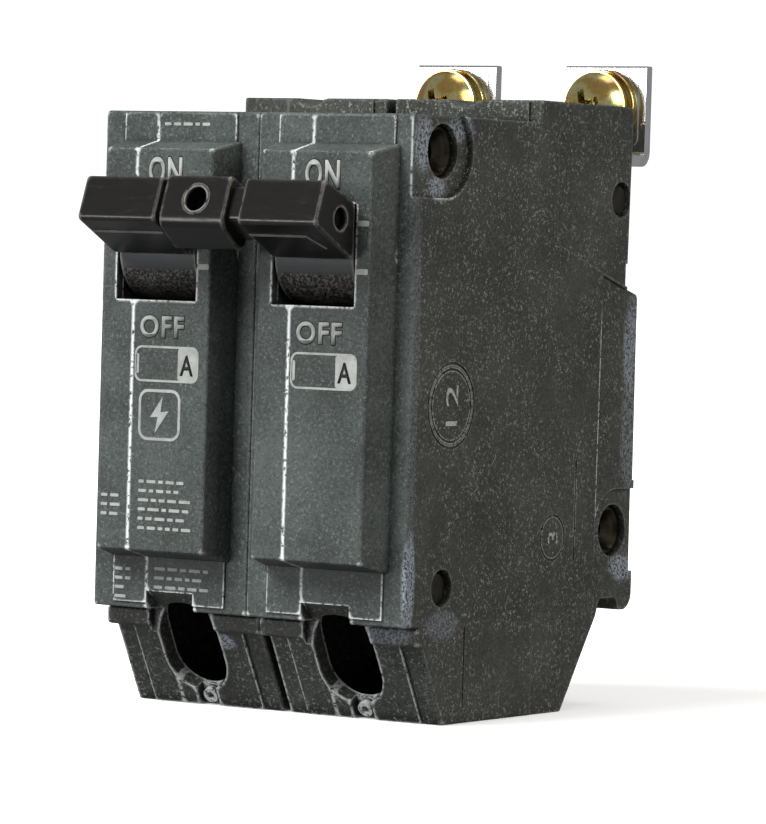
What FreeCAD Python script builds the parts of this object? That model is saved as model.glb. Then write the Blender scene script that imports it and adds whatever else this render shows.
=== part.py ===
import FreeCAD, Part
import math
import os
from FreeCAD import Vector

# A two-pole bolt-on moulded-case circuit breaker with a common handle.
#
# Everything is drawn once for one pole, in millimetres, with
#   x  to the right of the pole's own middle,
#   d  back from the flat front of the case, and
#   h  up from the flat bottom of the case.
# save() then puts a pole's piece at its pole's place and moves the front of
# the case to -SETBACK, so the origin is the middle of the part's foot.

# ---------------------------------------------------------------- case
POLE_WIDTH = 25.4
POLE_MIDDLE = {"left": -POLE_WIDTH / 2, "right": POLE_WIDTH / 2}
HALF = POLE_WIDTH / 2
WALL = 2.0
ROOM_X = HALF - WALL
PARTING_X = -3.64
FRONT_TOP = 80.85
BACK_TOP = 83.9
STEP_D = 30.8
FRONT_FOOT = 13.35
RIM = 0.35
STRIP_RISE = 0.3
FOOT_RELIEF = 1.2

PLATEAU_RISE = 4.93
PLATEAU_HALF = 8.7
PLATEAU_BOTTOM = 21.55
PLATEAU_TOP = 75.66
PLATEAU_DRAFT = 1.2
PLATEAU_WALL = 1.6
WINDOW_HALF = 6.6
WINDOW_BOTTOM = 55.3
WINDOW_TOP = 68.8

# The slanted terminal face at the foot of the front, and its opening.
SLANT_TOP = Vector(0, 4.2, 10.5)
SLANT_FOOT = Vector(0, 9.9, 0)
KEYHOLE_X = 0.45
KEYHOLE_HALF = 4.95
KEYHOLE_UP = 4.5
KEYHOLE_DOWN = 9.4
KEY_SLOT_X = 0.7
KEY_SLOT_HALF = 1.7
KEY_SLOT_DEEP = 1.4

# Rivets: (d, h) of each one.
EYELETS = [(7.27, 76.15), (54.0, 24.6)]
EYELET_R = 2.45
EYELET_BORE = 1.6
EYELET_HEAD_R = 3.4
FLARE_R = 2.9
FLARE_DEEP = 2.0
RIVETS = [(8.73, 18.34), (53.0, 70.9)]
RIVET_R = 1.5
RIVET_HEAD_R = 2.0
RIVET_SEAT_R = 2.5
BACK_WEB_D = 55.2
FRONT_WEB_D = 0.8
HEAD_SEAT = 1.5
HEAD_THICK = 0.7
RIVET_GAP = 0.04
RIVET_POST = 1.5
EYELET_POST = 2.2

# What is sunk into the outer side faces: panels, the ways of the eyelets and
# the ring grooves, each as (depth, half width or radius and so on).
PANEL_DEEP = 0.35
STRIP_DEEP = 0.6
EYELET_WAY_DEEP = 0.9
FRONT_WAY_WIDE = 12.4
BACK_WAY_WIDE = 11.6
GROOVE_DEEP = 0.2
GROOVE_WIDE = 0.35
BIG_RING = ((9.85, 42.55), 5.8)
SMALL_RING = ((36.6, 24.14), 3.25)
SIDE_GROOVES = [((42.2, 42.6), (20.9, 34.7)), ((14.6, 14.9), (2.0, 13.0))]

# ---------------------------------------------------------------- handle
PIVOT = (1.8, 62.05)
DRUM_R = 6.7
DRUM_HALF = 6.2
TRUNNION_R = 1.8
TRUNNION_END = 9.3
TRUNNION_FIT = 0.06
PADDLE_HALF = 6.25
PADDLE_OUT = 0.25
TAIL_REACH = 11.0
TAIL_ANGLE = -24.0
TIE_PIN_AT = (-8.5, 66.8)
TIE_PIN_R = 1.5
TIE_BLOCK_X = (-6.0, 4.35)

# ---------------------------------------------------------------- contacts
ARM_ANGLE = 28.4
ARM_REACH = 24.6
ARM_PIN_R = 1.2
SPRING_REACH = 20.0
STRAP_H = 75.9
STRAP_THICK = 1.6
STRAP_FIT = 0.05
STRAP_HALF = 4.0
TAB_HALF = 6.72
TAB_D = 68.5
TAB_TOP = 90.3
SCREW_H = 84.4
SCREW_R = 2.413
SCREW_NECK_R = 2.0
SCREW_HEAD_R = 5.1
RECESS_TURN = -20.0
SCREW_DOME_D = 62.2
TAB_RISE = 0.2
FLAT_WASHER = (5.35, 1.0)
LOCK_WASHER = (4.5, 1.4)
WASHER_FIT = 0.05
SCREW_THREAD = 5.55
SCREW_END = 75.85
CONTACT_D = 38.0
CONTACT_R = 2.4
CONTACT_THICK = 1.5
CONTACT_GAP = 0.1
PLATES = 5
PLATE_LOW = 56.5
PLATE_PITCH = 3.3
PLATE_THICK = 1.2
PLATE_HALF = 8.0
PLATE_D = (38.5, 49.6)
NOTCH_R = 3.6
NOTCH_END = 45.0
BOARD_THICK = 1.0
BOARD_H = (55.4, 72.5)

# ---------------------------------------------------------------- trip
CRADLE_AT = (9.0, 50.0)
CRADLE_X = (-8.2, -6.6)
ANCHOR = (17.0, 63.0)
SPRING_X = -3.9
LATCH_D = 32.6
LATCH_TOP = 44.5
TIP_D = 32.9
TIP_H = 45.9
ARMATURE_AT = (36.5, 24.0)
ARMATURE_D = (35.7, 37.3)
ARMATURE_TOP = 47.0
FLAP_SPRING_H = 31.5               # the spring that pushes the armature back
FLAP_SPRING_R = 1.7
FLAP_SPRING_WIRE_R = 0.3
FLAP_SPRING_TURNS = 3
FLAP_SPRING_PLAY = 0.06            # clear of the plates at both ends
ARMATURE_PIN_R = 1.0
TRIP_BAR_AT = (36.5, 52.0)
TRIP_BAR_R = 2.2
TRIP_BAR_FIT = 0.08
FORK_GAP = 0.65
FORK_THICK = 1.4
FORK_LOW = 44.6
BIMETAL_D = (42.0, 43.2)
BIMETAL_H = (14.6, 46.0)
CRADLE_PIN_R = 1.5
CRADLE_PIN_FIT = 0.05
TOGGLE_COIL_R = 1.9
TOGGLE_WIRE_R = 0.32
TOGGLE_EYE_R = 1.35
TOGGLE_TURNS = 9
CALIBRATION_H = 19.0
CALIBRATION_R = 1.2

# ---------------------------------------------------------------- terminal
LUG_DEPTH = 14.8
LUG_DOWN = 3.0
LUG_HALF_X = 5.0
LUG_HALF_N = 4.75
LUG_HALF_W = 5.5
WIRE_R = 3.1
WIRE_HOLE_R = 3.5
LUG_SCREW_R = 2.6
LUG_SCREW_HEAD_R = 3.7
LUG_SCREW_HEAD = 2.4
THREAD_FIT = 0.05


# ---------------------------------------------------------------- helpers
def rounded_face(corners, x=0.0):
    """Flat face at x from (d, h, corner radius) triples."""
    entries = []
    exits = []
    middles = []
    count = len(corners)
    for i in range(count):
        d, h, radius = corners[i]
        corner = Vector(x, d, h)
        before = corners[i - 1]
        after = corners[(i + 1) % count]
        to_before = (Vector(x, before[0], before[1]) - corner).normalize()
        to_after = (Vector(x, after[0], after[1]) - corner).normalize()
        if radius == 0:
            entries.append(corner)
            exits.append(corner)
            middles.append(None)
            continue
        half = to_before.getAngle(to_after) / 2
        reach = radius / math.tan(half)
        inward = (to_before + to_after).normalize()
        entries.append(corner + to_before * reach)
        exits.append(corner + to_after * reach)
        middles.append(corner + inward * (radius / math.sin(half) - radius))
    edges = []
    for i in range(count):
        if middles[i] is not None:
            edges.append(Part.Arc(entries[i], middles[i], exits[i]).toShape())
        following = (i + 1) % count
        if (exits[i] - entries[following]).Length > 1e-6:
            edges.append(Part.makeLine(exits[i], entries[following]))
    return Part.Face(Part.Wire(edges))


def prism(corners, x0, x1):
    """Solid with a side outline of (d, h, radius) corners, from x0 to x1."""
    return rounded_face(corners, x0).extrude(Vector(x1 - x0, 0, 0))


def plain(points, radius=0.0):
    """The same corner radius on every (d, h) point."""
    return [(d, h, radius) for d, h in points]


def box(x, d, h):
    """Box from three (low, high) pairs."""
    return Part.makeBox(x[1] - x[0], d[1] - d[0], h[1] - h[0], Vector(x[0], d[0], h[0]))


def rod_x(at, radius, x0, x1):
    """Round bar across the pole at (d, h)."""
    return Part.makeCylinder(radius, x1 - x0, Vector(x0, at[0], at[1]), Vector(1, 0, 0))


def rod_d(x, h, radius, d0, d1):
    """Round bar from front to back."""
    return Part.makeCylinder(radius, d1 - d0, Vector(x, d0, h), Vector(0, 1, 0))


def link(start, end, width, x0, x1):
    """Flat bar with round ends between two (d, h) points."""
    ends = Vector(0, end[0] - start[0], end[1] - start[1])
    side = Vector(0, -ends.z, ends.y).normalize() * (width / 2)
    corners = []
    for (d, h), sign in ((start, 1), (end, 1), (end, -1), (start, -1)):
        corners.append((d + sign * side.y, h + sign * side.z, 0))
    bar = prism(corners, x0, x1)
    bar = bar.fuse(rod_x(start, width / 2, x0, x1))
    return bar.fuse(rod_x(end, width / 2, x0, x1)).removeSplitter()


def soften(shape, radius, wanted):
    """Round the edges for which wanted(edge's box) is true."""
    edges = [edge for edge in shape.Edges if wanted(edge.BoundBox)]
    return shape.makeFillet(radius, edges)


def polar(at, reach, degrees):
    """The (d, h) point at a distance and an angle above straight back."""
    angle = math.radians(degrees)
    return (at[0] + reach * math.cos(angle), at[1] + reach * math.sin(angle))


def tube_along(points, radius):
    """Round flexible lead along straight runs joined by tangent arcs."""
    edges = []
    start = points[0]
    for i in range(1, len(points) - 1):
        corner = points[i]
        to_before = points[i - 1] - corner
        to_after = points[i + 1] - corner
        shorter = min(to_before.Length, to_after.Length)
        to_before.normalize()
        to_after.normalize()
        half = to_before.getAngle(to_after) / 2
        reach = 0.45 * shorter
        bend = reach * math.tan(half)
        inward = (to_before + to_after).normalize()
        middle = corner + inward * (bend / math.sin(half) - bend)
        entry = corner + to_before * reach
        edges.append(Part.makeLine(start, entry))
        start = corner + to_after * reach
        edges.append(Part.Arc(entry, middle, start).toShape())
    edges.append(Part.makeLine(start, points[-1]))
    path = Part.Wire(edges)
    along = points[1] - points[0]
    section = Part.Wire(Part.makeCircle(radius, points[0], along))
    return path.makePipeShell([section], True, True)


def coil(start, end, coil_r, wire_r, turns):
    """Coil spring between two points in space."""
    along = end - start
    helix = Part.makeHelix(along.Length / turns, along.Length, coil_r)
    section = Part.Wire(Part.makeCircle(wire_r, Vector(coil_r, 0, 0), Vector(0, 1, 0)))
    spring = Part.Wire(helix.Edges).makePipeShell([section], True, True)
    turn = FreeCAD.Rotation(Vector(0, 0, 1), along)
    spring.Placement = FreeCAD.Placement(start, turn)
    return spring


# The slanted face has its own axes: OUT points away from the case through
# the opening, UP runs along the face towards the front.
DOWN = (SLANT_FOOT - SLANT_TOP).normalize()
UP = DOWN * -1
OUT = Vector(0, DOWN.z, -DOWN.y)
LUG_AT = SLANT_TOP + DOWN * LUG_DOWN - OUT * LUG_DEPTH


def on_lug(x, out, up):
    """Point measured from the middle of the lug along the slanted axes."""
    return LUG_AT + OUT * out + UP * up + Vector(x, 0, 0)


def slanted_box(x, out, up):
    """Box square to the slanted face, measured from the lug's middle."""
    corners = []
    for o, u in ((out[0], up[0]), (out[1], up[0]), (out[1], up[1]), (out[0], up[1])):
        point = on_lug(0, o, u)
        corners.append((point.y, point.z, 0))
    return prism(corners, x[0], x[1])


# ---------------------------------------------------------------- case
OUTLINE = [
    (0, FRONT_FOOT, 0.4),
    (0, FRONT_TOP, 0.6),
    (STEP_D, FRONT_TOP, 0.2),
    (STEP_D, BACK_TOP, 0.4),
    (55.7, BACK_TOP, 0.8),
    (55.2, 58.5, 0.3),
    (58.6, 57.6, 0.8),
    (59.0, 13.3, 2.4),
    (55.3, 13.4, 0.5),
    (54.9, 15.2, 0.8),
    (50.2, 15.2, 0.8),
    (49.4, 12.9, 0.3),
    (40.5, 0, 0.8),
    (9.9, 0, 0.6),
    (4.3, 10.55, 0.2),
    (3.3, 10.8, 0.4),
    (3.2, 12.9, 0.4),
    (3.9, 13.35, 0.15),
]

INSIDE = [
    (2.0, 17.5, 0.5),
    (2.0, FRONT_TOP - WALL, 1.0),
    (STEP_D + WALL, FRONT_TOP - WALL, 0.5),
    (STEP_D + WALL, BACK_TOP - WALL, 1.0),
    (53.7, BACK_TOP - WALL, 1.0),
    (53.25, 56.8, 0.5),
    (56.6, 55.9, 1.0),
    (57.0, 17.2, 1.0),
    (49.0, 17.2, 0.5),
    (47.2, 14.0, 0.5),
    (39.4, 2.0, 1.0),
    (11.1, 2.0, 1.0),
    (6.2, 12.0, 0.5),
]


def plateau_section(d):
    """Rectangle of the raised front block at a distance behind the front."""
    spread = PLATEAU_DRAFT * (d + PLATEAU_RISE) / PLATEAU_RISE
    half = PLATEAU_HALF + spread
    low = PLATEAU_BOTTOM - spread
    high = PLATEAU_TOP + spread
    corners = [(-half, low), (half, low), (half, high), (-half, high)]
    points = [Vector(x, d, h) for x, h in corners]
    return Part.makePolygon(points + points[:1])


def plateau():
    """The raised block that holds the handle's window."""
    block = Part.makeLoft([plateau_section(-PLATEAU_RISE), plateau_section(0.6)], True)
    face = -PLATEAU_RISE + 0.01
    return soften(block, 0.4, lambda b: b.YMin < face)


def terminal_channel():
    """Keyhole-shaped way through the slanted face to the terminal screw."""
    inner = -7.0
    outer = 9.0
    low = SLANT_TOP + DOWN * (KEYHOLE_DOWN - KEYHOLE_HALF)
    high = SLANT_TOP - DOWN * (KEYHOLE_UP - KEYHOLE_HALF)
    shape = None
    for centre in (low, high):
        base = centre + OUT * inner + Vector(KEYHOLE_X, 0, 0)
        end = Part.makeCylinder(KEYHOLE_HALF, outer - inner, base, OUT)
        shape = end if shape is None else shape.fuse(end)
    corners = []
    for centre, reach in ((low, inner), (low, outer), (high, outer), (high, inner)):
        point = centre + OUT * reach
        corners.append((point.y, point.z, 0))
    middle = prism(corners, KEYHOLE_X - KEYHOLE_HALF, KEYHOLE_X + KEYHOLE_HALF)
    slot_end = SLANT_TOP + DOWN * 13.0
    slot_start = SLANT_TOP + DOWN * (KEYHOLE_DOWN - 1.5)
    corners = []
    floor = -KEY_SLOT_DEEP
    for centre, reach in ((slot_start, floor), (slot_start, outer), (slot_end, outer), (slot_end, floor)):
        point = centre + OUT * reach
        corners.append((point.y, point.z, 0))
    slot = prism(corners, KEY_SLOT_X - KEY_SLOT_HALF, KEY_SLOT_X + KEY_SLOT_HALF)
    return shape.fuse([middle, slot])


def foot_strip():
    """Low raised band down the slanted face, under the front's own strip."""
    corners = []
    for along, out in ((-0.4, -1.0), (-0.4, STRIP_RISE), (11.75, STRIP_RISE), (11.9, -1.0)):
        point = SLANT_TOP + DOWN * along + OUT * out
        corners.append((point.y, point.z, 0))
    return prism(corners, -8.5, 9.6)


def foot_relief():
    """Step cut from the left edge of the slanted face."""
    corners = []
    for along, out in ((-0.2, 1.0), (14.0, 1.0), (14.0, -2.5), (-0.2, -2.5)):
        point = SLANT_TOP + DOWN * along + OUT * out
        corners.append((point.y, point.z, 0))
    return prism(corners, -HALF - 1, -HALF + FOOT_RELIEF)


def wire_gauge():
    """Small moulded tube that stands in the keyhole's narrow end."""
    base = SLANT_TOP + DOWN * 10.6 + Vector(KEY_SLOT_X, 0, 0) - OUT * (KEY_SLOT_DEEP + 0.2)
    tube = Part.makeCylinder(1.1, KEY_SLOT_DEEP, base, OUT)
    return tube.cut(Part.makeCylinder(0.55, 3, base + OUT * 0.5, OUT))


def boss_post(at, radius):
    """Solid post that stays across the inside of the case."""
    return rod_x(at, radius, -HALF, HALF)


def ribs():
    """Partition between the terminal's room and the mechanism's room."""
    ceiling = box((-HALF, HALF), (0, 28.8), (23.2, 24.8))
    curtain = box((-HALF, HALF), (27.2, 28.8), (14.5, 24.8))
    return ceiling.fuse(curtain)


def room():
    """The hollow inside one pole, with its posts and ribs left standing."""
    hollow = prism(INSIDE, -ROOM_X, ROOM_X)
    pocket = box((-7.2, 7.2), (-PLATEAU_RISE + PLATEAU_WALL, 2.5), (26.0, 74.0))
    hollow = hollow.fuse(pocket)
    keep = [boss_post(at, EYELET_R + EYELET_POST) for at in EYELETS]
    keep += [boss_post(at, RIVET_R + RIVET_POST) for at in RIVETS]
    keep.append(ribs())
    for side in (-1, 1):
        inner, outer = sorted((side * 8.4, side * HALF))
        keep.append(rod_x(PIVOT, TRUNNION_R + 1.6, inner, outer))
        keep.append(rod_x(TRIP_BAR_AT, TRIP_BAR_R + 1.4, *sorted((side * 9.2, side * HALF))))
    keep.append(rod_x(CRADLE_AT, 3.0, -HALF, CRADLE_X[0] - 0.4))
    return hollow.cut(keep)


def rivet_holes():
    """Holes across the whole pole for the eyelets and the small rivets."""
    holes = [rod_x(at, EYELET_R + RIVET_GAP, -HALF - 1, HALF + 1) for at in EYELETS]
    holes += [rod_x(at, RIVET_R + RIVET_GAP, -HALF - 1, HALF + 1) for at in RIVETS]
    return holes


def side_relief(side):
    """What is cut into an outer side face; side is 1 for right, -1 for left."""
    def skin(corners, depth):
        x0, x1 = sorted((side * (HALF - depth), side * (HALF + 1)))
        return prism(corners, x0, x1)

    def disc(at, radius, depth):
        x0, x1 = sorted((side * (HALF - depth), side * (HALF + 1)))
        return rod_x(at, radius, x0, x1)

    def ring(at, radius, width):
        return disc(at, radius, GROOVE_DEEP).cut(disc(at, radius - width, 1))

    top_back = [(35.6, 86.0), (60.0, 86.0), (60.0, 57.2), (47.7, 60.9), (36.5, 64.3), (35.6, 64.8)]
    low_back = [(32.0, 14.8), (47.9, 19.2), (48.2, 60.4), (60.0, 56.8), (60.0, -1.0), (32.0, -1.0)]
    rear_strip = [(54.8, 31.6), (60.0, 31.6), (60.0, 62.0), (54.8, 62.0)]
    way_x = sorted((side * (HALF - EYELET_WAY_DEEP), side * (HALF + 1)))
    before_front = (-8.0, EYELETS[0][1])
    behind_back = (68.0, EYELETS[1][1])
    front_way = link(before_front, EYELETS[0], FRONT_WAY_WIDE, *way_x)
    if side < 0:
        front_way = front_way.cut(box((-HALF - 2, 0), (-20.0, FRONT_WEB_D), (60, 90)))
    cuts = [
        skin(plain(top_back), PANEL_DEEP),
        skin(plain(low_back), PANEL_DEEP),
        skin(plain(rear_strip), STRIP_DEEP),
        ring(BIG_RING[0], BIG_RING[1], GROOVE_WIDE),
        ring(BIG_RING[0], BIG_RING[1] - 0.8, GROOVE_WIDE),
        ring(SMALL_RING[0], SMALL_RING[1], GROOVE_WIDE),
        front_way,
        link(EYELETS[1], behind_back, BACK_WAY_WIDE, *way_x),
    ]
    for d, h in SIDE_GROOVES:
        cuts.append(skin(plain([(d[0], h[0]), (d[1], h[0]), (d[1], h[1]), (d[0], h[1])]), GROOVE_DEEP))
    for at in EYELETS:
        cuts.append(disc(at, EYELET_HEAD_R + 0.25, EYELET_WAY_DEEP + HEAD_SEAT))
    inside_webs = box((-HALF - 2, HALF + 2), (FRONT_WEB_D, BACK_WEB_D), (0, 90))
    for at in RIVETS:
        cuts.append(disc(at, RIVET_SEAT_R, HEAD_SEAT).common(inside_webs))
    return cuts


def pole_body(side):
    """One pole's whole moulding, before it is parted into base and cover."""
    body = prism(OUTLINE, -HALF, HALF)
    rim = HALF - 0.01
    body = soften(body, RIM, lambda b: b.XMin > rim or b.XMax < -rim)
    strip = box((-9.2, 9.2), (-STRIP_RISE, 1.0), (14.2, FRONT_TOP - 0.15))
    step_strip = box((-9.3, 10.6), (STEP_D - STRIP_RISE, STEP_D + 1.0), (FRONT_TOP - 0.5, BACK_TOP - 0.15))
    body = body.fuse([strip, step_strip, foot_strip(), plateau()])
    body = body.cut(room())
    body = body.cut(terminal_channel().cut(boss_post(RIVETS[0], RIVET_R + RIVET_POST)))
    window = box((-WINDOW_HALF, WINDOW_HALF), (-8, 0), (WINDOW_BOTTOM, WINDOW_TOP))
    wedge = prism(plain([(-2, 15.8), (0, 15.8), (4.4, 12.4), (4.4, 9.0), (-2, 9.0)]), PARTING_X, 4.1)
    ledge_gap = box((-5.6, 3.4), (2.0, 4.2), (10.0, 13.34))
    shelf = box((-HALF - 1, -HALF + 1.5), (STEP_D, 60), (FRONT_TOP, 90))
    way_half = TAB_HALF + STRAP_FIT
    way_h = (STRAP_H - STRAP_FIT, STRAP_H + STRAP_THICK + STRAP_FIT)
    strap_way = box((-way_half, way_half), (50.0, 60.0), way_h)
    driver_notch = rod_d(0, BACK_TOP + 2.1, 3.3, STEP_D - 1, 70)
    wire_start = on_lug(0, 0, -LUG_HALF_W)
    wire_way = Part.makeCylinder(WIRE_HOLE_R, 20, wire_start, DOWN)
    trunnions = rod_x(PIVOT, TRUNNION_R + TRUNNION_FIT, -TRUNNION_END - 0.2, TRUNNION_END + 0.2)
    cradle_seat = rod_x(CRADLE_AT, CRADLE_PIN_R + RIVET_GAP, -HALF + 1.0, 0)
    bar_r = TRIP_BAR_R + TRIP_BAR_FIT
    bar_way = rod_x(TRIP_BAR_AT, bar_r, *sorted((side * 10.5, -side * (HALF + 1))))
    cuts = [window, wedge, ledge_gap, shelf, strap_way, driver_notch, wire_way]
    cuts += [trunnions, cradle_seat, bar_way, foot_relief()]
    cuts += rivet_holes()
    cuts += side_relief(side)
    return body.cut(cuts).fuse(wire_gauge()).removeSplitter()


def case_halves(pole):
    """The base on the left of the parting line and the cover on its right."""
    body = pole_body(-1 if pole == "left" else 1)
    base = body.common(box((-HALF - 1, PARTING_X), (-20, 80), (-5, 95)))
    cover = body.common(box((PARTING_X, HALF + 1), (-20, 80), (-5, 95)))
    save(pole + "_case_base", base, pole)
    save(pole + "_case_cover", cover, pole)


def fastener_set(name, places, radius, head_r, bore, sunk):
    """Rivets across both poles, one group of separate solids."""
    end = POLE_WIDTH - sunk - HEAD_SEAT
    solids = []
    for at in places:
        rivet = rod_x(at, radius, -end, end)
        for side in (-1, 1):
            x0, x1 = sorted((side * end, side * (end + HEAD_THICK)))
            rivet = rivet.fuse(rod_x(at, head_r, x0, x1))
        if bore:
            rivet = rivet.cut(rod_x(at, bore, -POLE_WIDTH, POLE_WIDTH))
            for side in (-1, 1):
                mouth = Vector(side * (end + HEAD_THICK), at[0], at[1])
                inward = Vector(-side, 0, 0)
                rivet = rivet.cut(Part.makeCone(FLARE_R, bore, FLARE_DEEP, mouth, inward))
        rim = head_r - 0.05
        rivet = soften(rivet, 0.2, lambda b: abs(b.XMin) > end + HEAD_THICK - 0.05 and b.YLength > 2 * rim)
        solids.append(rivet)
    save(name, Part.makeCompound(solids))


# ---------------------------------------------------------------- handle
PADDLE = [(-12.25, 71.9, 0.7), (-14.35, 65.95, 0.7), (-5.25, 61.2, 0.6), (-5.05, 68.8, 0.6)]
TIE_BLOCK = [(-12.15, 72.2, 0.7), (-14.35, 65.6, 1.6), (-9.4, 61.7, 1.2), (-5.25, 68.8, 0.6)]
TIE_NECK = [(-11.6, 70.8, 0.6), (-13.2, 66.3, 0.8), (-9.3, 63.4, 0.8), (-6.3, 68.3, 0.5)]

# Middle of the whole part, from the paddles' nose to the end of the line
# screws, measured back from the case's front.
SETBACK = (prism(PADDLE, 0, 1).BoundBox.YMin + SCREW_END) / 2


def handle(pole):
    """One pole's handle: paddle, neck, drum, trunnions and forked tail."""
    outward = PADDLE_OUT if pole == "right" else -PADDLE_OUT
    x0 = outward - PADDLE_HALF
    x1 = outward + PADDLE_HALF
    paddle = prism(PADDLE, x0, x1)
    paddle = soften(paddle, 0.3, lambda b: b.XMax < x0 + 0.01 or b.XMin > x1 - 0.01)
    neck = prism(plain([(-6.2, 62.4), (-6.2, 68.0), (1.8, 66.6), (1.8, 62.0)]), -5.9, 5.9)
    drum = rod_x(PIVOT, DRUM_R, -DRUM_HALF, DRUM_HALF)
    trunnion = rod_x(PIVOT, TRUNNION_R, -TRUNNION_END, TRUNNION_END)
    body = paddle.fuse([neck, drum, trunnion])
    tail = polar(PIVOT, TAIL_REACH, TAIL_ANGLE)
    for side in (-1, 1):
        body = body.fuse(link(PIVOT, tail, 5.2, *sorted((side * 1.3, side * 3.1))))
    arm_room = rod_x(tail, 3.4, -1.3, 1.3)
    body = body.cut([
        arm_room,
        rod_x(tail, ARM_PIN_R + 0.01, -4, 4),
        rod_x(TIE_PIN_AT, TIE_PIN_R + 0.02, -10, 10),
    ])
    save(pole + "_handle", body.removeSplitter(), pole)


def handle_tie():
    """Bridge between the two paddles, with a ringed blind hole in front."""
    block = prism(TIE_BLOCK, *TIE_BLOCK_X)
    block = soften(block, 0.3, lambda b: b.XLength < 0.01)
    gap = POLE_MIDDLE["right"] + PADDLE_OUT - PADDLE_HALF
    neck = prism(TIE_NECK, -gap, gap)
    front = Vector(-0.6, -13.2, 68.9)
    facing = Vector(0, -6.6, 2.2).normalize()
    ring = Part.makeCylinder(2.2, 1.0, front - facing * 0.9, facing)
    hole = Part.makeCylinder(1.7, 6.0, front - facing * 2.6, facing)
    pin_way = rod_x(TIE_PIN_AT, TIE_PIN_R + 0.02, -10, 10)
    save("handle_tie", block.fuse([neck, ring]).cut([hole, pin_way]).removeSplitter())


def tie_pin():
    """Steel pin through both paddles and the bridge."""
    end = POLE_MIDDLE["right"] + PADDLE_OUT + PADDLE_HALF - 1.0
    pin = rod_x(TIE_PIN_AT, TIE_PIN_R, -end, end)
    save("tie_pin", soften(pin, 0.3, lambda b: b.XLength < 0.01))


# ---------------------------------------------------------------- contacts
ARM_PIVOT = polar(PIVOT, TAIL_REACH, TAIL_ANGLE)


def contact_arm(pole):
    """Copper arm that hangs in the handle's fork, with its spring post."""
    elbow = polar(ARM_PIVOT, ARM_REACH, ARM_ANGLE)
    post = polar(ARM_PIVOT, SPRING_REACH, ARM_ANGLE)
    arm = link(ARM_PIVOT, elbow, 4.4, -1.0, 1.0)
    top = STRAP_H - 2 * CONTACT_THICK - CONTACT_GAP
    pad = box((-2.5, 2.5), (elbow[0] - 1.0, CONTACT_D + 3.5), (top - 2.0, top))
    pad = soften(pad, 0.6, lambda b: b.ZLength > 1.9)
    arm = arm.fuse([pad, rod_x(post, 0.9, -5.4, 0)])
    arm = arm.cut(rod_x(ARM_PIVOT, ARM_PIN_R + 0.05, -2, 2))
    save(pole + "_contact_arm", arm.removeSplitter(), pole)
    save(pole + "_arm_pin", rod_x(ARM_PIVOT, ARM_PIN_R, -3.4, 3.4), pole)
    button = Part.makeCylinder(CONTACT_R, CONTACT_THICK, Vector(0, CONTACT_D, top))
    save(pole + "_moving_contact", soften(button, 0.3, lambda b: b.ZMin > top + 1), pole)


def line_strap(pole):
    """Tin-plated bar: fixed contact seat inside, bolt-on tab outside."""
    low = STRAP_H
    high = STRAP_H + STRAP_THICK
    inner = box((-STRAP_HALF, STRAP_HALF), (34.0, 51.0), (low, high))
    bend = [
        (50.0, low, 0), (TAB_D + STRAP_THICK, low, 2.2), (TAB_D + STRAP_THICK, TAB_TOP, 0.3),
        (TAB_D, TAB_TOP, 0.3), (TAB_D, high, 0.6), (50.0, high, 0),
    ]
    tab = prism(bend, -TAB_HALF, TAB_HALF)
    pad = box((-TAB_HALF + 1.2, TAB_HALF - 1.2), (TAB_D - TAB_RISE, TAB_D + 0.5), (high + 1.4, TAB_TOP - 1.0))
    pad = soften(pad, 1.0, lambda b: b.YLength > 0.6)
    strap = inner.fuse([tab, pad])
    strap = strap.cut(rod_d(0, SCREW_H, SCREW_R + 0.2, 60, 75))
    save(pole + "_line_strap", strap.removeSplitter(), pole)
    contact = Part.makeCylinder(CONTACT_R, CONTACT_THICK, Vector(0, CONTACT_D, low - CONTACT_THICK))
    save(pole + "_fixed_contact", soften(contact, 0.3, lambda b: b.ZMax < low - 1), pole)


def phillips_recess(x, d, h, reach, width, depth):
    """Cross-shaped driver recess cut from the front of a head."""
    blade = prism(plain([(d, h - reach), (d, h + reach), (d + depth, h + 0.5), (d + depth, h - 0.5)]),
                  x - width / 2, x + width / 2)
    other = blade.copy()
    other.rotate(Vector(x, 0, h), Vector(0, 1, 0), 90)
    cross = blade.fuse(other)
    cross.rotate(Vector(x, 0, h), Vector(0, 1, 0), RECESS_TURN)
    return cross


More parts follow.
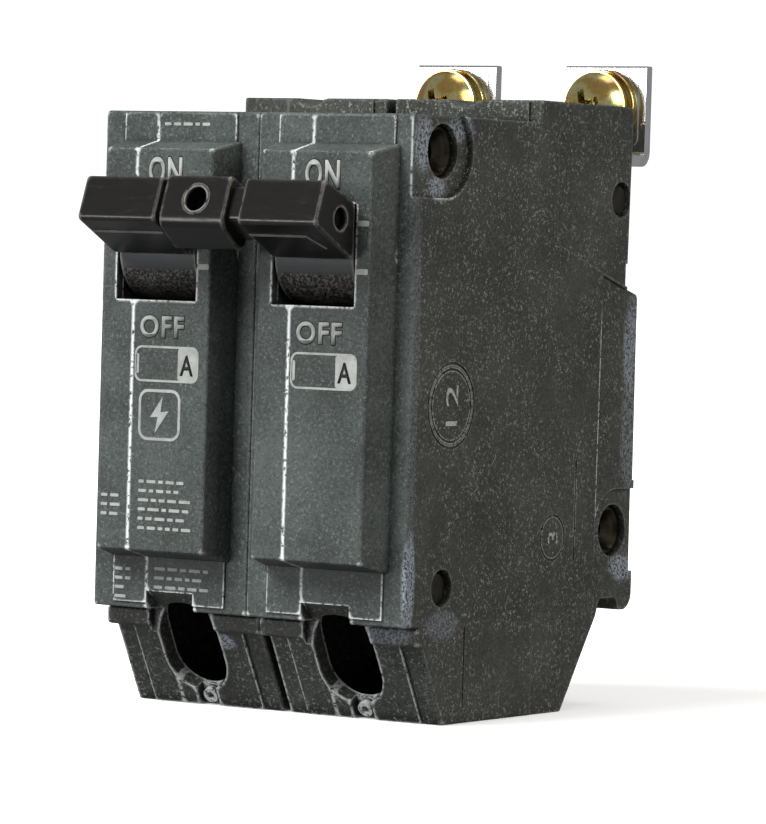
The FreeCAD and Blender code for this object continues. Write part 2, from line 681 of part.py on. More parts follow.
def line_screw(pole):
    """Round-head screw with its lock washer and flat washer."""
    seat_d = TAB_D - TAB_RISE
    washer_d = seat_d - FLAT_WASHER[1]
    lock_d = washer_d - LOCK_WASHER[1]
    tall = lock_d - SCREW_DOME_D
    ball_r = (SCREW_HEAD_R * SCREW_HEAD_R + tall * tall) / (2 * tall)
    ball = Part.makeSphere(ball_r, Vector(0, SCREW_DOME_D + ball_r, SCREW_H))
    head = ball.common(rod_d(0, SCREW_H, SCREW_HEAD_R + 1, SCREW_DOME_D - 1, lock_d - 0.3))
    skirt = rod_d(0, SCREW_H, SCREW_HEAD_R, lock_d - 0.6, lock_d)
    neck = rod_d(0, SCREW_H, SCREW_NECK_R, lock_d - 0.5, SCREW_END - 1)
    thread = rod_d(0, SCREW_H, SCREW_R, SCREW_END - SCREW_THREAD, SCREW_END)
    thread = soften(thread, 0.6, lambda b: b.YMin > SCREW_END - 0.01)
    recess = phillips_recess(0, SCREW_DOME_D - 0.2, SCREW_H, 2.9, 1.1, 2.8)
    save(pole + "_line_screw", head.fuse([skirt, neck, thread]).cut(recess).removeSplitter(), pole)
    hole = rod_d(0, SCREW_H, SCREW_R + WASHER_FIT, lock_d - 1, TAB_D)
    lock = rod_d(0, SCREW_H, LOCK_WASHER[0], lock_d, washer_d)
    rim_h = SCREW_H + LOCK_WASHER[0] + 0.7
    split = [(lock_d - 0.1, SCREW_H), (lock_d + 0.5, SCREW_H)]
    split += [(washer_d + 0.1, rim_h), (washer_d - 0.5, rim_h)]
    save(pole + "_lock_washer", lock.cut([hole, prism(plain(split), -0.45, 0.45)]), pole)
    flat = rod_d(0, SCREW_H, FLAT_WASHER[0], washer_d, seat_d)
    flat = soften(flat, 0.2, lambda b: b.YLength < 0.01)
    save(pole + "_flat_washer", flat.cut(hole), pole)


def arc_chute(pole):
    """Stack of notched steel plates between two fibre boards."""
    plates = []
    for step in range(PLATES):
        low = PLATE_LOW + PLATE_PITCH * step
        plate = box((-PLATE_HALF, PLATE_HALF), PLATE_D, (low, low + PLATE_THICK))
        notch = box((-NOTCH_R, NOTCH_R), (PLATE_D[0] - 1, NOTCH_END), (low - 1, low + 2))
        notch = notch.fuse(Part.makeCylinder(NOTCH_R, 3, Vector(0, NOTCH_END, low - 1)))
        plates.append(plate.cut(notch))
    save(pole + "_arc_plates", Part.makeCompound(plates), pole)
    boards = []
    for side in (-1, 1):
        across = sorted((side * PLATE_HALF, side * (PLATE_HALF + BOARD_THICK)))
        boards.append(box(across, (PLATE_D[0] - 1, PLATE_D[1] + 0.3), BOARD_H))
    save(pole + "_arc_chute_boards", Part.makeCompound(boards), pole)


# ---------------------------------------------------------------- trip unit
def cradle(pole):
    """Latched lever that anchors the toggle spring."""
    x0, x1 = CRADLE_X
    elbow = (26.5, 51.6)
    plate = link(CRADLE_AT, ANCHOR, 4.4, x0, x1)
    plate = plate.fuse([
        link(ANCHOR, elbow, 3.6, x0, x1),
        link(CRADLE_AT, elbow, 3.6, x0, x1),
        prism(plain([(25.6, 53.2), (25.2, 50.0), (30.6, TIP_H), (TIP_D, TIP_H), (TIP_D, 47.6)]), x0, x1),
        rod_x(CRADLE_AT, 2.8, x0, x1),
        rod_x(ANCHOR, 0.9, x1 - 0.5, -2.4),
    ])
    plate = plate.cut(rod_x(CRADLE_AT, CRADLE_PIN_R + CRADLE_PIN_FIT, x0 - 1, x1 + 1))
    save(pole + "_cradle", plate.removeSplitter(), pole)
    save(pole + "_cradle_pin", rod_x(CRADLE_AT, CRADLE_PIN_R, -HALF + 1.1, x1 + 0.6), pole)


def toggle_spring(pole):
    """Coil spring from the cradle's post to the contact arm's post."""
    post = polar(ARM_PIVOT, SPRING_REACH, ARM_ANGLE)
    start = Vector(SPRING_X, ANCHOR[0], ANCHOR[1])
    end = Vector(SPRING_X, post[0], post[1])
    along = (end - start).normalize()
    eye_r = TOGGLE_EYE_R
    wire_r = TOGGLE_WIRE_R
    coil_r = TOGGLE_COIL_R
    to_coil = along * (eye_r + 0.6)
    spring = coil(start + to_coil, end - to_coil, coil_r, wire_r, TOGGLE_TURNS)
    across = Vector(0, -along.z, along.y)
    parts = []
    for centre, sign in ((start, 1), (end, -1)):
        eye = Part.makeTorus(eye_r, wire_r, centre, Vector(1, 0, 0))
        neck_start = centre + along * (sign * eye_r)
        neck = Part.makeCylinder(wire_r, 0.6, neck_start, along * sign)
        bar_base = neck_start + along * (sign * 0.6) - across * coil_r
        bar = Part.makeCylinder(wire_r, 2 * coil_r, bar_base, across)
        parts += [eye, neck, bar]
    save(pole + "_toggle_spring", spring.fuse(parts), pole)


def armature(pole):
    """Steel flap whose ledge holds the cradle's tip."""
    d0, d1 = ARMATURE_D
    lower = box((-4.4, 4.4), (d0, d1), (ARMATURE_AT[1], 30.0))
    upper = box((-8.6, 2.0), (d0, d1), (29.0, ARMATURE_TOP))
    knuckle = rod_x(ARMATURE_AT, 2.1, -4.4, 4.4)
    ledge = box((-8.6, -6.2), (LATCH_D, d0 + 0.5), (LATCH_TOP - 1.5, LATCH_TOP))
    flap = lower.fuse([upper, knuckle, ledge])
    flap = flap.cut(rod_x(ARMATURE_AT, ARMATURE_PIN_R + 0.05, -6, 6))
    save(pole + "_armature", flap.removeSplitter(), pole)
    save(pole + "_armature_pin", rod_x(ARMATURE_AT, ARMATURE_PIN_R, -6.6, 6.6), pole)
    end_gap = FLAP_SPRING_WIRE_R + FLAP_SPRING_PLAY
    start = Vector(0, d1 + end_gap, FLAP_SPRING_H)
    end = Vector(0, BIMETAL_D[0] - end_gap, FLAP_SPRING_H)
    spring = coil(start, end, FLAP_SPRING_R, FLAP_SPRING_WIRE_R, FLAP_SPRING_TURNS)
    save(pole + "_armature_spring", spring, pole)


def magnet_yoke(pole):
    """U-shaped iron round the bimetal, with ears for the armature's pin."""
    back = box((-6.2, 6.2), (BIMETAL_D[1], BIMETAL_D[1] + 1.6), (24.0, 42.0))
    yoke = back
    for side in (-1, 1):
        x = sorted((side * 4.6, side * 6.2))
        yoke = yoke.fuse([
            box(x, (40.4, BIMETAL_D[1] + 1.6), (24.0, 42.0)),
            box(x, (34.4, 41.0), (22.0, 26.4)),
        ])
    yoke = yoke.cut(rod_x(ARMATURE_AT, ARMATURE_PIN_R + 0.01, -7, 7))
    save(pole + "_magnet_yoke", yoke.removeSplitter(), pole)


def bimetal(pole):
    """Two-metal strip that bends back as it heats."""
    save(pole + "_bimetal", box((-3.5, 3.5), BIMETAL_D, BIMETAL_H), pole)


def calibration_screw(pole):
    """Small screw through the load strap's upright, behind the bimetal."""
    strap_d = BIMETAL_D[1]
    head_d = strap_d + 3.2
    shank = rod_d(0, CALIBRATION_H, CALIBRATION_R, strap_d + 0.05, head_d + 0.2)
    head = rod_d(0, CALIBRATION_H, CALIBRATION_R + 0.8, head_d, head_d + 1.3)
    slot = box((-2.5, 2.5), (head_d + 0.8, head_d + 2), (CALIBRATION_H - 0.3, CALIBRATION_H + 0.3))
    save(pole + "_calibration_screw", shank.fuse(head).cut(slot), pole)


def load_strap(pole):
    """Copper strip from behind the lug to the foot of the bimetal."""
    inner = -LUG_HALF_N
    top = on_lug(0, inner, 5.0)
    low = on_lug(0, inner, -LUG_HALF_W)
    top_back = on_lug(0, inner - STRAP_THICK, 5.0)
    run = low.z
    up_to_run = (run + STRAP_THICK - on_lug(0, inner - STRAP_THICK, 0).z) / UP.z
    low_back = on_lug(0, inner - STRAP_THICK, up_to_run)
    strap_d = BIMETAL_D[1]
    corners = [
        (top.y, top.z, 0),
        (low.y, run, 0.5),
        (strap_d + STRAP_THICK, run, 1.8),
        (strap_d + STRAP_THICK, 22.0, 0.2),
        (strap_d, 22.0, 0.2),
        (strap_d, run + STRAP_THICK, 0.3),
        (low_back.y, low_back.z, 0.3),
        (top_back.y, top_back.z, 0),
    ]
    strap = prism(corners, -3.5, 3.5)
    strap = strap.cut(rod_d(0, CALIBRATION_H, CALIBRATION_R + RIVET_GAP, 40, 50))
    save(pole + "_load_strap", strap, pole)


def braid(pole):
    """Flexible copper lead from the bimetal's top to the contact arm."""
    seat = polar(ARM_PIVOT, 16.0, ARM_ANGLE)
    points = [
        Vector(1.02, seat[0], seat[1]),
        Vector(5.2, seat[0], seat[1]),
        Vector(6.4, 29.0, 57.0),
        Vector(6.2, 31.0, 48.0),
        Vector(4.6, 36.0, 43.6),
        Vector(2.2, 39.0, 43.6),
        Vector(2.2, BIMETAL_D[0] - 0.05, 43.6),
    ]
    save(pole + "_braid", tube_along(points, 1.1), pole)


def trip_bar():
    """Moulded bar across both poles with a fork on each armature."""
    end = POLE_WIDTH - WALL - 0.5
    bar = rod_x(TRIP_BAR_AT, TRIP_BAR_R, -end, end)
    for middle in POLE_MIDDLE.values():
        x = (middle - 4.5, middle - 1.0)
        front = ARMATURE_D[0] - FORK_GAP
        back = ARMATURE_D[1] + FORK_GAP
        bar = bar.fuse([
            box(x, (front - FORK_THICK, front), (FORK_LOW, TRIP_BAR_AT[1])),
            box(x, (back, back + FORK_THICK), (FORK_LOW, TRIP_BAR_AT[1])),
            box(x, (front - FORK_THICK, back + FORK_THICK), (FORK_LOW + 4.4, TRIP_BAR_AT[1])),
        ])
    save("trip_bar", bar.removeSplitter())


# ---------------------------------------------------------------- terminal
def lug(pole):
    """Aluminium box lug with a wire bore and a threaded screw hole."""
    block = slanted_box((-LUG_HALF_X, LUG_HALF_X), (-LUG_HALF_N, LUG_HALF_N), (-LUG_HALF_W, LUG_HALF_W))
    block = block.makeChamfer(0.4, block.Edges)
    bore = Part.makeCylinder(WIRE_R, 20, on_lug(0, 0, -10), UP)
    thread = Part.makeCylinder(LUG_SCREW_R + THREAD_FIT, 8, on_lug(0, 0, 0), OUT)
    save(pole + "_lug", block.cut([bore, thread]), pole)


def lug_screw(pole):
    """Slotted terminal screw, driven through the slanted face."""
    tip = 3.4
    seat = LUG_HALF_N + 0.6
    shank = Part.makeCylinder(LUG_SCREW_R, seat + 0.5 - tip, on_lug(0, tip, 0), OUT)
    head = Part.makeCylinder(LUG_SCREW_HEAD_R, LUG_SCREW_HEAD, on_lug(0, seat, 0), OUT)
    head = soften(head, 0.5, lambda b: b.YMin < on_lug(0, seat, 0).y - 2.5)
    slot = slanted_box((-0.6, 0.6), (seat + LUG_SCREW_HEAD - 1.2, seat + LUG_SCREW_HEAD + 1), (-5, 5))
    save(pole + "_lug_screw", shank.fuse(head).cut(slot), pole)


# ---------------------------------------------------------------- output
def save(name, shape, pole=None):
    """Move a piece to its place in the whole part and write it."""
    across = POLE_MIDDLE[pole] if pole else 0.0
    placed = shape.copy()
    placed.translate(Vector(across, -SETBACK, 0))
    if not placed.isValid():
        print("not valid:", name)
    placed.exportStep(os.path.join("parts", name + ".step"))
    print(name, len(placed.Solids), round(placed.Volume, 1))


def build():
    """Make every piece of the breaker."""
    os.makedirs("parts", exist_ok=True)
    for pole in POLE_MIDDLE:
        for make in (case_halves, handle, contact_arm, line_strap, line_screw, arc_chute, cradle,
                     toggle_spring, armature, magnet_yoke, bimetal, calibration_screw, load_strap,
                     braid, lug, lug_screw):
            make(pole)
    handle_tie()
    tie_pin()
    trip_bar()
    fastener_set("case_eyelets", EYELETS, EYELET_R, EYELET_HEAD_R, EYELET_BORE, 0.9)
    fastener_set("case_rivets", RIVETS, RIVET_R, RIVET_HEAD_R, 0, 0.0)


build()
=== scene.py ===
"""Finishes, printed marks and studio for a two-pole bolt-on circuit breaker, around its fixed frame."""

import logging
import math
import random
from dataclasses import dataclass, field
from enum import Enum

import bmesh
import bpy
from mathutils import Matrix, Vector


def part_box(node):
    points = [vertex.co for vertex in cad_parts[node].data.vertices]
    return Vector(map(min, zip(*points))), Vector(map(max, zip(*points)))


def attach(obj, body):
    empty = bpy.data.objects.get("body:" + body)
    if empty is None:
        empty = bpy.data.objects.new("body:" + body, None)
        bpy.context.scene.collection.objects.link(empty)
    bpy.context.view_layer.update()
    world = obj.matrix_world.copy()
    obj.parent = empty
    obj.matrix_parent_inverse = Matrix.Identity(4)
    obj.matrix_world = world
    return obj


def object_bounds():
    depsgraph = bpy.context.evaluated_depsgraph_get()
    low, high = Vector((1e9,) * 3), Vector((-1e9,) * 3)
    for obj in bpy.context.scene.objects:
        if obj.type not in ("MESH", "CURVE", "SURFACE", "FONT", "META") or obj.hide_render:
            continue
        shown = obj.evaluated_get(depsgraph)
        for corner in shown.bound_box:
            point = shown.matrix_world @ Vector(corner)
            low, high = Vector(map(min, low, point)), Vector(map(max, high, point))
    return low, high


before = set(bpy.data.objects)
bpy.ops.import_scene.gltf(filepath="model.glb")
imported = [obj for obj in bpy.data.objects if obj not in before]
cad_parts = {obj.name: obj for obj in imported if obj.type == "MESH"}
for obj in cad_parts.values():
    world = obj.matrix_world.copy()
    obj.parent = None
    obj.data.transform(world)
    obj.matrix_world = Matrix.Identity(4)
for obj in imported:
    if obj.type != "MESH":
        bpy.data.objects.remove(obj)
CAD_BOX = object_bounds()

LOG = logging.getLogger("breaker")
MM = 0.001
PLATEAU_RISE = 4.93                # front of each plateau before the case's flat front, in mm
STRIP_RISE = 0.3                   # front of the raised strip round the plateaus, likewise
Colour = tuple[float, float, float]


class Pole(Enum):
    """The two poles, by the first word of their nodes' names."""

    LEFT = "left"
    RIGHT = "right"


class Side(Enum):
    """The two outer side faces, with the sign of their outward X."""

    LEFT = -1
    RIGHT = 1


def linear(code: str) -> Colour:
    """Turns a hex screen colour into scene-linear numbers.

    Args:
        code: Six hex digits, such as "4a4d4c".

    Returns:
        Red, green and blue between 0 and 1.
    """
    steps = [int(code[i:i + 2], 16) / 255 for i in (0, 2, 4)]
    return tuple(c / 12.92 if c <= 0.04045 else ((c + 0.055) / 1.055) ** 2.4 for c in steps)


# ---------------------------------------------------------------- places
@dataclass(frozen=True)
class Site:
    """Where the faces that carry marks lie, read from the frame, in metres."""

    face: float
    front: float
    side: float
    middles: dict[Pole, float]

    @classmethod
    def from_frame(cls) -> "Site":
        """Measures the case and the line screws of the frame."""
        low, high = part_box("right_case_cover")
        middles = {}
        for pole in Pole:
            screw_low, screw_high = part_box(pole.value + "_line_screw")
            middles[pole] = (screw_low.x + screw_high.x) / 2
        return cls(face=low.y, front=low.y + PLATEAU_RISE * MM, side=high.x, middles=middles)

    def on_front(self, pole: Pole, x: float, h: float, lift: float = 0.0) -> Matrix:
        """Placement of a flat mark on a pole's plateau.

        Args:
            pole: Which pole.
            x: Across from the pole's middle, in mm.
            h: Up from the foot, in mm.
            lift: Out from the face, in mm.

        Returns:
            A matrix that lays local XY on the face with local Z outwards.
        """
        place = Vector((self.middles[pole] + x * MM, self.face - lift * MM, h * MM))
        return Matrix.Translation(place) @ Matrix.Rotation(math.radians(90), 4, "X")

    def on_side(self, side: Side, d: float, h: float, turn: float = 0.0) -> Matrix:
        """Placement of a flat mark on an outer side face, d behind the case's front, in mm."""
        place = Vector((side.value * self.side, self.front + d * MM, h * MM))
        outwards = Matrix.Rotation(math.radians(90 * side.value), 4, "Z")
        upright = Matrix.Rotation(math.radians(90), 4, "X")
        return Matrix.Translation(place) @ outwards @ upright @ Matrix.Rotation(math.radians(turn), 4, "Z")

    def in_mm(self, x: float, d: float, h: float) -> tuple[float, float, float]:
        """A point of the whole part, in mm, as materials read it."""
        return (x, self.front / MM + d, h)


SITE = Site.from_frame()


# ---------------------------------------------------------------- shader maths
class Value:
    """A number-valued socket that takes part in Python arithmetic."""

    def __init__(self, graph: "Graph", socket: bpy.types.NodeSocket) -> None:
        """Wraps one output socket of a graph."""
        self.graph = graph
        self.socket = socket

    def math(self, operation: str, *terms: "Value | float") -> "Value":
        """Adds one Math node over the given terms."""
        made = self.graph.node("ShaderNodeMath", {"operation": operation}, dict(enumerate(terms)))
        return Value(self.graph, made)

    def __add__(self, other: "Value | float") -> "Value":
        """Sum."""
        return self.math("ADD", self, other)

    def __sub__(self, other: "Value | float") -> "Value":
        """Difference."""
        return self.math("SUBTRACT", self, other)

    def __rsub__(self, other: float) -> "Value":
        """Difference from a plain number."""
        return self.math("SUBTRACT", other, self)

    def __mul__(self, other: "Value | float") -> "Value":
        """Product."""
        return self.math("MULTIPLY", self, other)

    __radd__ = __add__
    __rmul__ = __mul__

    def most(self, other: "Value | float") -> "Value":
        """The larger of two values."""
        return self.math("MAXIMUM", self, other)

    def rise(self, low: float, high: float) -> "Value":
        """Smooth step from 0 at low to 1 at high; falls if low is above high."""
        inputs = {"Value": self, "From Min": low, "From Max": high}
        made = self.graph.node("ShaderNodeMapRange", {"interpolation_type": "SMOOTHSTEP"}, inputs)
        return Value(self.graph, made)


class Graph:
    """A material's nodes, written as expressions; lengths are in mm."""

    def __init__(self, name: str) -> None:
        """Starts a material with one Principled shader."""
        self.material = bpy.data.materials.new(name)
        self.material.use_nodes = True
        self.tree = self.material.node_tree
        self.tree.nodes.clear()
        self.shader = self.tree.nodes.new("ShaderNodeBsdfPrincipled")
        output = self.tree.nodes.new("ShaderNodeOutputMaterial")
        self.tree.links.new(self.shader.outputs["BSDF"], output.inputs["Surface"])
        place = self.node("ShaderNodeTexCoord", {}, {}, "Object")
        in_mm = {"Vector": place, "Scale": 1 / MM}
        self.point = self.node("ShaderNodeVectorMath", {"operation": "SCALE"}, in_mm)

    def node(self, kind: str, settings: dict, inputs: dict, output: str | int = 0) -> bpy.types.NodeSocket:
        """Adds any node.

        Args:
            kind: The node's type.
            settings: Its own properties, set first; "stops" fills a colour ramp.
            inputs: Socket names or numbers with values, sockets or Value objects.
            output: The output wanted.

        Returns:
            That output socket.
        """
        made = self.tree.nodes.new(kind)
        for key, value in settings.items():
            if key == "stops":
                self._fill_ramp(made.color_ramp, value)
            else:
                setattr(made, key, value)
        for key, value in inputs.items():
            self.feed(made.inputs[key], value)
        return made.outputs[output]

    def feed(self, socket: bpy.types.NodeSocket, value: object) -> None:
        """Links or sets one input socket."""
        if isinstance(value, Value):
            value = value.socket
        if isinstance(value, bpy.types.NodeSocket):
            self.tree.links.new(value, socket)
        elif socket.type == "RGBA":
            socket.default_value = (*value, 1.0)
        else:
            socket.default_value = value

    @staticmethod
    def _fill_ramp(ramp: bpy.types.ColorRamp, stops: list) -> None:
        """Writes (position, colour) stops into a ramp that has two."""
        while len(ramp.elements) < len(stops):
            ramp.elements.new(1.0)
        for element, (position, colour) in zip(ramp.elements, stops):
            element.position = position
            element.color = (*colour, 1.0)

    def stretched(self, stretch: Colour) -> bpy.types.NodeSocket:
        """The point with each axis multiplied, for grain that runs one way."""
        return self.node("ShaderNodeVectorMath", {"operation": "MULTIPLY"}, {0: self.point, 1: stretch})

    def noise(self, per_mm: float, detail: float = 2.0, rough: float = 0.5,
              stretch: Colour = (1, 1, 1)) -> Value:
        """Cloudy noise with so many cells per mm."""
        inputs = {"Vector": self.stretched(stretch), "Scale": per_mm, "Detail": detail, "Roughness": rough}
        return Value(self, self.node("ShaderNodeTexNoise", {}, inputs, "Fac"))

    def specks(self, per_mm: float, size: float, share: float) -> Value:
        """Small round dots in a share of the cells, 1 inside a dot."""
        inputs = {"Vector": self.point, "Scale": per_mm}
        cell = self.node("ShaderNodeTexVoronoi", {}, inputs, "Distance")
        chance = cell.node.outputs["Color"]
        dot = Value(self, cell).rise(size, size * 0.6)
        return dot * Value(self, chance).rise(1 - share, 1.02 - share)

    def edge(self, reach: float) -> Value:
        """How near an outer edge is: about 0.5 on it and 0 beyond reach mm."""
        return 1 - self._occlusion(reach, True)

    def crevice(self, reach: float) -> Value:
        """How near an inner corner is: about 0.5 in it and 0 beyond reach mm."""
        return 1 - self._occlusion(reach, False)

    def _occlusion(self, reach: float, inside: bool) -> Value:
        """Share of short rays that meet nothing of the same piece."""
        settings = {"inside": inside, "only_local": inside, "samples": 8}
        return Value(self, self.node("ShaderNodeAmbientOcclusion", settings, {"Distance": reach * MM}, "AO"))

    def along(self, axis: str) -> Value:
        """One coordinate of the point, "X", "Y" or "Z", in mm of the part."""
        return Value(self, self.node("ShaderNodeSeparateXYZ", {}, {0: self.point}, axis))

    def behind_front(self) -> Value:
        """How far the point lies behind the flat front of the case, in mm."""
        return self.along("Y") - SITE.front / MM

    def near(self, centre: Colour, half: Colour) -> Value:
        """Soft ellipsoid, 1 at its middle and 0 outside, in mm of the part."""
        away = self.node("ShaderNodeVectorMath", {"operation": "SUBTRACT"}, {0: self.point, 1: centre})
        share = self.node("ShaderNodeVectorMath", {"operation": "DIVIDE"}, {0: away, 1: half})
        length = self.node("ShaderNodeVectorMath", {"operation": "LENGTH"}, {0: share}, "Value")
        return Value(self, length).rise(1.0, 0.55)

    def mix(self, factor: "Value | float", low: object, high: object) -> bpy.types.NodeSocket:
        """Colour between low, at factor 0, and high, at factor 1."""
        return self.node("ShaderNodeMix", {"data_type": "RGBA"}, {0: factor, 6: low, 7: high}, 2)

    def bump(self, height: Value, depth: float, strength: float = 1.0) -> bpy.types.NodeSocket:
        """Normal from a height of 0 to 1 over so many mm."""
        inputs = {"Height": height, "Distance": depth * MM, "Strength": strength}
        return self.node("ShaderNodeBump", {}, inputs, "Normal")

    def finish(self, **sockets: object) -> bpy.types.Material:
        """Feeds the shader's sockets, named with underscores, and returns the material."""
        for key, value in sockets.items():
            self.feed(self.shader.inputs[key.replace("_", " ")], value)
        return self.material


# ---------------------------------------------------------------- finishes
@dataclass(frozen=True)
class DustAndHighlightPatch:
    """A soft zone in mm of the whole part: a place where pale dust has settled, and in the edge highlight lines a
    place where edges get painted highlight.
    """

    centre: tuple[float, float, float]
    half: tuple[float, float, float]
    strength: float


@dataclass(frozen=True)
class CasePlastic:
    """Charcoal phenolic moulding: grain, flow clouds, pale dust, painted shade in inner corners, lighter painted-light
    colours on the front faces, and pale edges that are partly scuffed wear and partly painted highlight.

    Each pair of lengths gives where a zone starts and where it is full, in mm.
    """

    name: str = "case_plastic"
    deep: Colour = linear("262824")
    pale: Colour = linear("434641")
    # Lighter, cooler copies of the colours for the front faces: painted light, standing in for the brighter light on
    # the front.
    front_lit_deep: Colour = linear("2a2f2d")
    front_lit_pale: Colour = linear("4c5351")
    # Near-black painted shade for inner corners and crevices.
    crevice_shade: Colour = linear("0b0b0a")
    grit: Colour = linear("8b8f8a")
    # Near-white for scuffed specks and for pale edges, which are partly scuffed wear and partly painted highlight.
    scuff_and_highlight: Colour = linear("dfe3e3")
    dust: Colour = linear("9ba4b0")
    # How strongly edges are paled in each zone: partly wear, partly painted highlight.
    plain_wear_and_highlight: float = 0.22
    front_wear_and_highlight: float = 0.62
    slant_wear_and_highlight: float = 0.4
    side_grit: float = 0.8
    front_grit: float = 0.38
    matt: float = 0.46
    front_depth: tuple[float, float] = (1.1, 0.3)
    slant_height: tuple[float, float] = (14.0, 13.0)
    slant_depth: tuple[float, float] = (12.0, 11.0)
    rim_across: tuple[float, float] = (25.0, 24.4)
    rim_height: tuple[float, float] = (80.7, 80.2)
    edge_reach: float = 0.8
    crevice_reach: float = 2.0
    patches: tuple[DustAndHighlightPatch, ...] = (
        DustAndHighlightPatch((25.4, 2.6, 77.0), (2.0, 3.6, 5.4), 0.95),
        DustAndHighlightPatch((25.4, 10.6, 79.0), (2.0, 3.4, 2.6), 0.7),
        DustAndHighlightPatch((25.4, 6.0, 71.4), (2.0, 3.4, 2.2), 0.85),
        DustAndHighlightPatch((25.4, 0.9, 19.2), (1.2, 1.5, 8.6), 1.0),
        DustAndHighlightPatch((25.2, 0.9, 46.0), (1.2, 1.1, 30.0), 0.2),
        DustAndHighlightPatch((25.0, 56.4, 19.4), (2.0, 4.0, 2.4), 0.95),
        DustAndHighlightPatch((25.0, 57.6, 50.0), (2.0, 3.0, 9.0), 0.7),
        DustAndHighlightPatch((25.0, 57.6, 39.0), (2.0, 3.0, 12.0), 0.42),
        DustAndHighlightPatch((25.4, 9.0, 13.4), (1.2, 5.0, 2.4), 0.35),
        DustAndHighlightPatch((-6.2, 5.0, 9.4), (2.0, 2.0, 1.4), 0.8),
        DustAndHighlightPatch((21.0, 3.6, 12.4), (4.5, 1.6, 2.2), 0.5),
        DustAndHighlightPatch((9.6, 15.0, 81.5), (9.0, 16.0, 2.4), 0.3),
    )
    # Lines along edges, grooves and the plateaus' sides where the pale edges are painted highlight.
    edge_highlight_lines: tuple[DustAndHighlightPatch, ...] = (
        DustAndHighlightPatch((25.4, 48.5, 40.0), (1.6, 1.4, 21.0), 0.9),
        DustAndHighlightPatch((25.4, 42.4, 27.8), (1.6, 0.8, 8.0), 0.5),
        DustAndHighlightPatch((25.4, 55.6, 46.0), (1.6, 0.7, 12.0), 0.5),
        DustAndHighlightPatch((25.4, 7.3, 70.0), (1.6, 4.5, 1.8), 0.6),
        DustAndHighlightPatch((25.4, 9.85, 42.55), (1.0, 7.6, 7.6), 0.55),
        DustAndHighlightPatch((25.4, 36.6, 24.14), (1.0, 4.4, 4.4), 0.5),
        DustAndHighlightPatch((-16.3, -4.9, 46.0), (1.1, 2.2, 40.0), 1.0),
        DustAndHighlightPatch((9.1, -4.9, 46.0), (1.1, 2.2, 40.0), 1.0),
        DustAndHighlightPatch((21.2, -4.9, 50.0), (1.0, 1.6, 36.0), 0.8),
    )

    def make(self) -> bpy.types.Material:
        """Builds the material."""
        graph = Graph(self.name)
        front = graph.behind_front().rise(*self.front_depth)
        cloud = graph.noise(0.09, 3.0, 0.6)
        grain = graph.noise(1.7, 3.0, 0.65)
        fine = graph.noise(2.6, 3.0, 0.8)
        # Painted light: faces on the front take the lighter, cooler copies of the colours.
        pale = graph.mix(front, self.pale, self.front_lit_pale)
        deep = graph.mix(front, self.deep, self.front_lit_deep)
        colour = graph.mix((cloud * 0.3 + grain * 0.25 + fine * 0.45).rise(0.4, 0.6), deep, pale)
        # Painted shade: inner corners and crevices darkened towards near-black.
        colour = graph.mix(graph.crevice(self.crevice_reach).rise(0.15, 0.62) * 0.8, colour, self.crevice_shade)
        gritty = graph.noise(2.1, 2.0, 0.9).rise(0.56, 0.66) * graph.noise(0.22, 3.0, 0.6).rise(0.3, 0.55)
        grit_level = self.side_grit - front * (self.side_grit - self.front_grit)
        colour = graph.mix(gritty * grit_level, colour, self.grit)
        settled = self._sum_up(graph, self.patches) * fine.rise(0.44, 0.54)
        colour = graph.mix(settled, colour, self.dust)
        freckle = graph.specks(2.4, 0.15, 0.07) * graph.noise(0.12, 2.0).rise(0.42, 0.62)
        freckle = freckle.most(graph.specks(1.1, 0.085, 0.05))
        colour = graph.mix(freckle * 0.8, colour, self.scuff_and_highlight)
        slant = graph.along("Z").rise(*self.slant_height) * graph.behind_front().rise(*self.slant_depth)
        rim = graph.along("X").rise(*self.rim_across) * graph.along("Z").rise(*self.rim_height)
        broken = graph.noise(0.14, 3.0, 0.6).rise(0.3, 0.55)
        worked = front * rim * (broken * 0.5 + 0.5) * self.front_wear_and_highlight
        everywhere = worked + slant * self.slant_wear_and_highlight + self.plain_wear_and_highlight
        zone = everywhere.most(self._sum_up(graph, self.edge_highlight_lines))
        patchy = graph.noise(0.5, 4.0, 0.7)
        # Pale edges: partly scuffed wear, partly painted highlight along edges and grooves.
        worn = (graph.edge(self.edge_reach) - patchy * 0.24).rise(0.14, 0.25)
        worn = worn * graph.noise(1.6, 3.0, 0.7).rise(0.34, 0.5)
        colour = graph.mix((worn * zone).rise(0.05, 1.0), colour, self.scuff_and_highlight)
        relief = grain * 0.5 + fine * 0.5
        normal = graph.bump(relief, 0.05, 0.6)
        return graph.finish(Base_Color=colour, Roughness=self.matt + relief * 0.25, Normal=normal)

    @staticmethod
    def _sum_up(graph: Graph, patches: tuple[DustAndHighlightPatch, ...]) -> Value:
        """The strongest of a set of soft patches at each point."""
        total = None
        for patch in patches:
            spot = graph.near(SITE.in_mm(*patch.centre), patch.half) * patch.strength
            total = spot if total is None else total.most(spot)
        return total


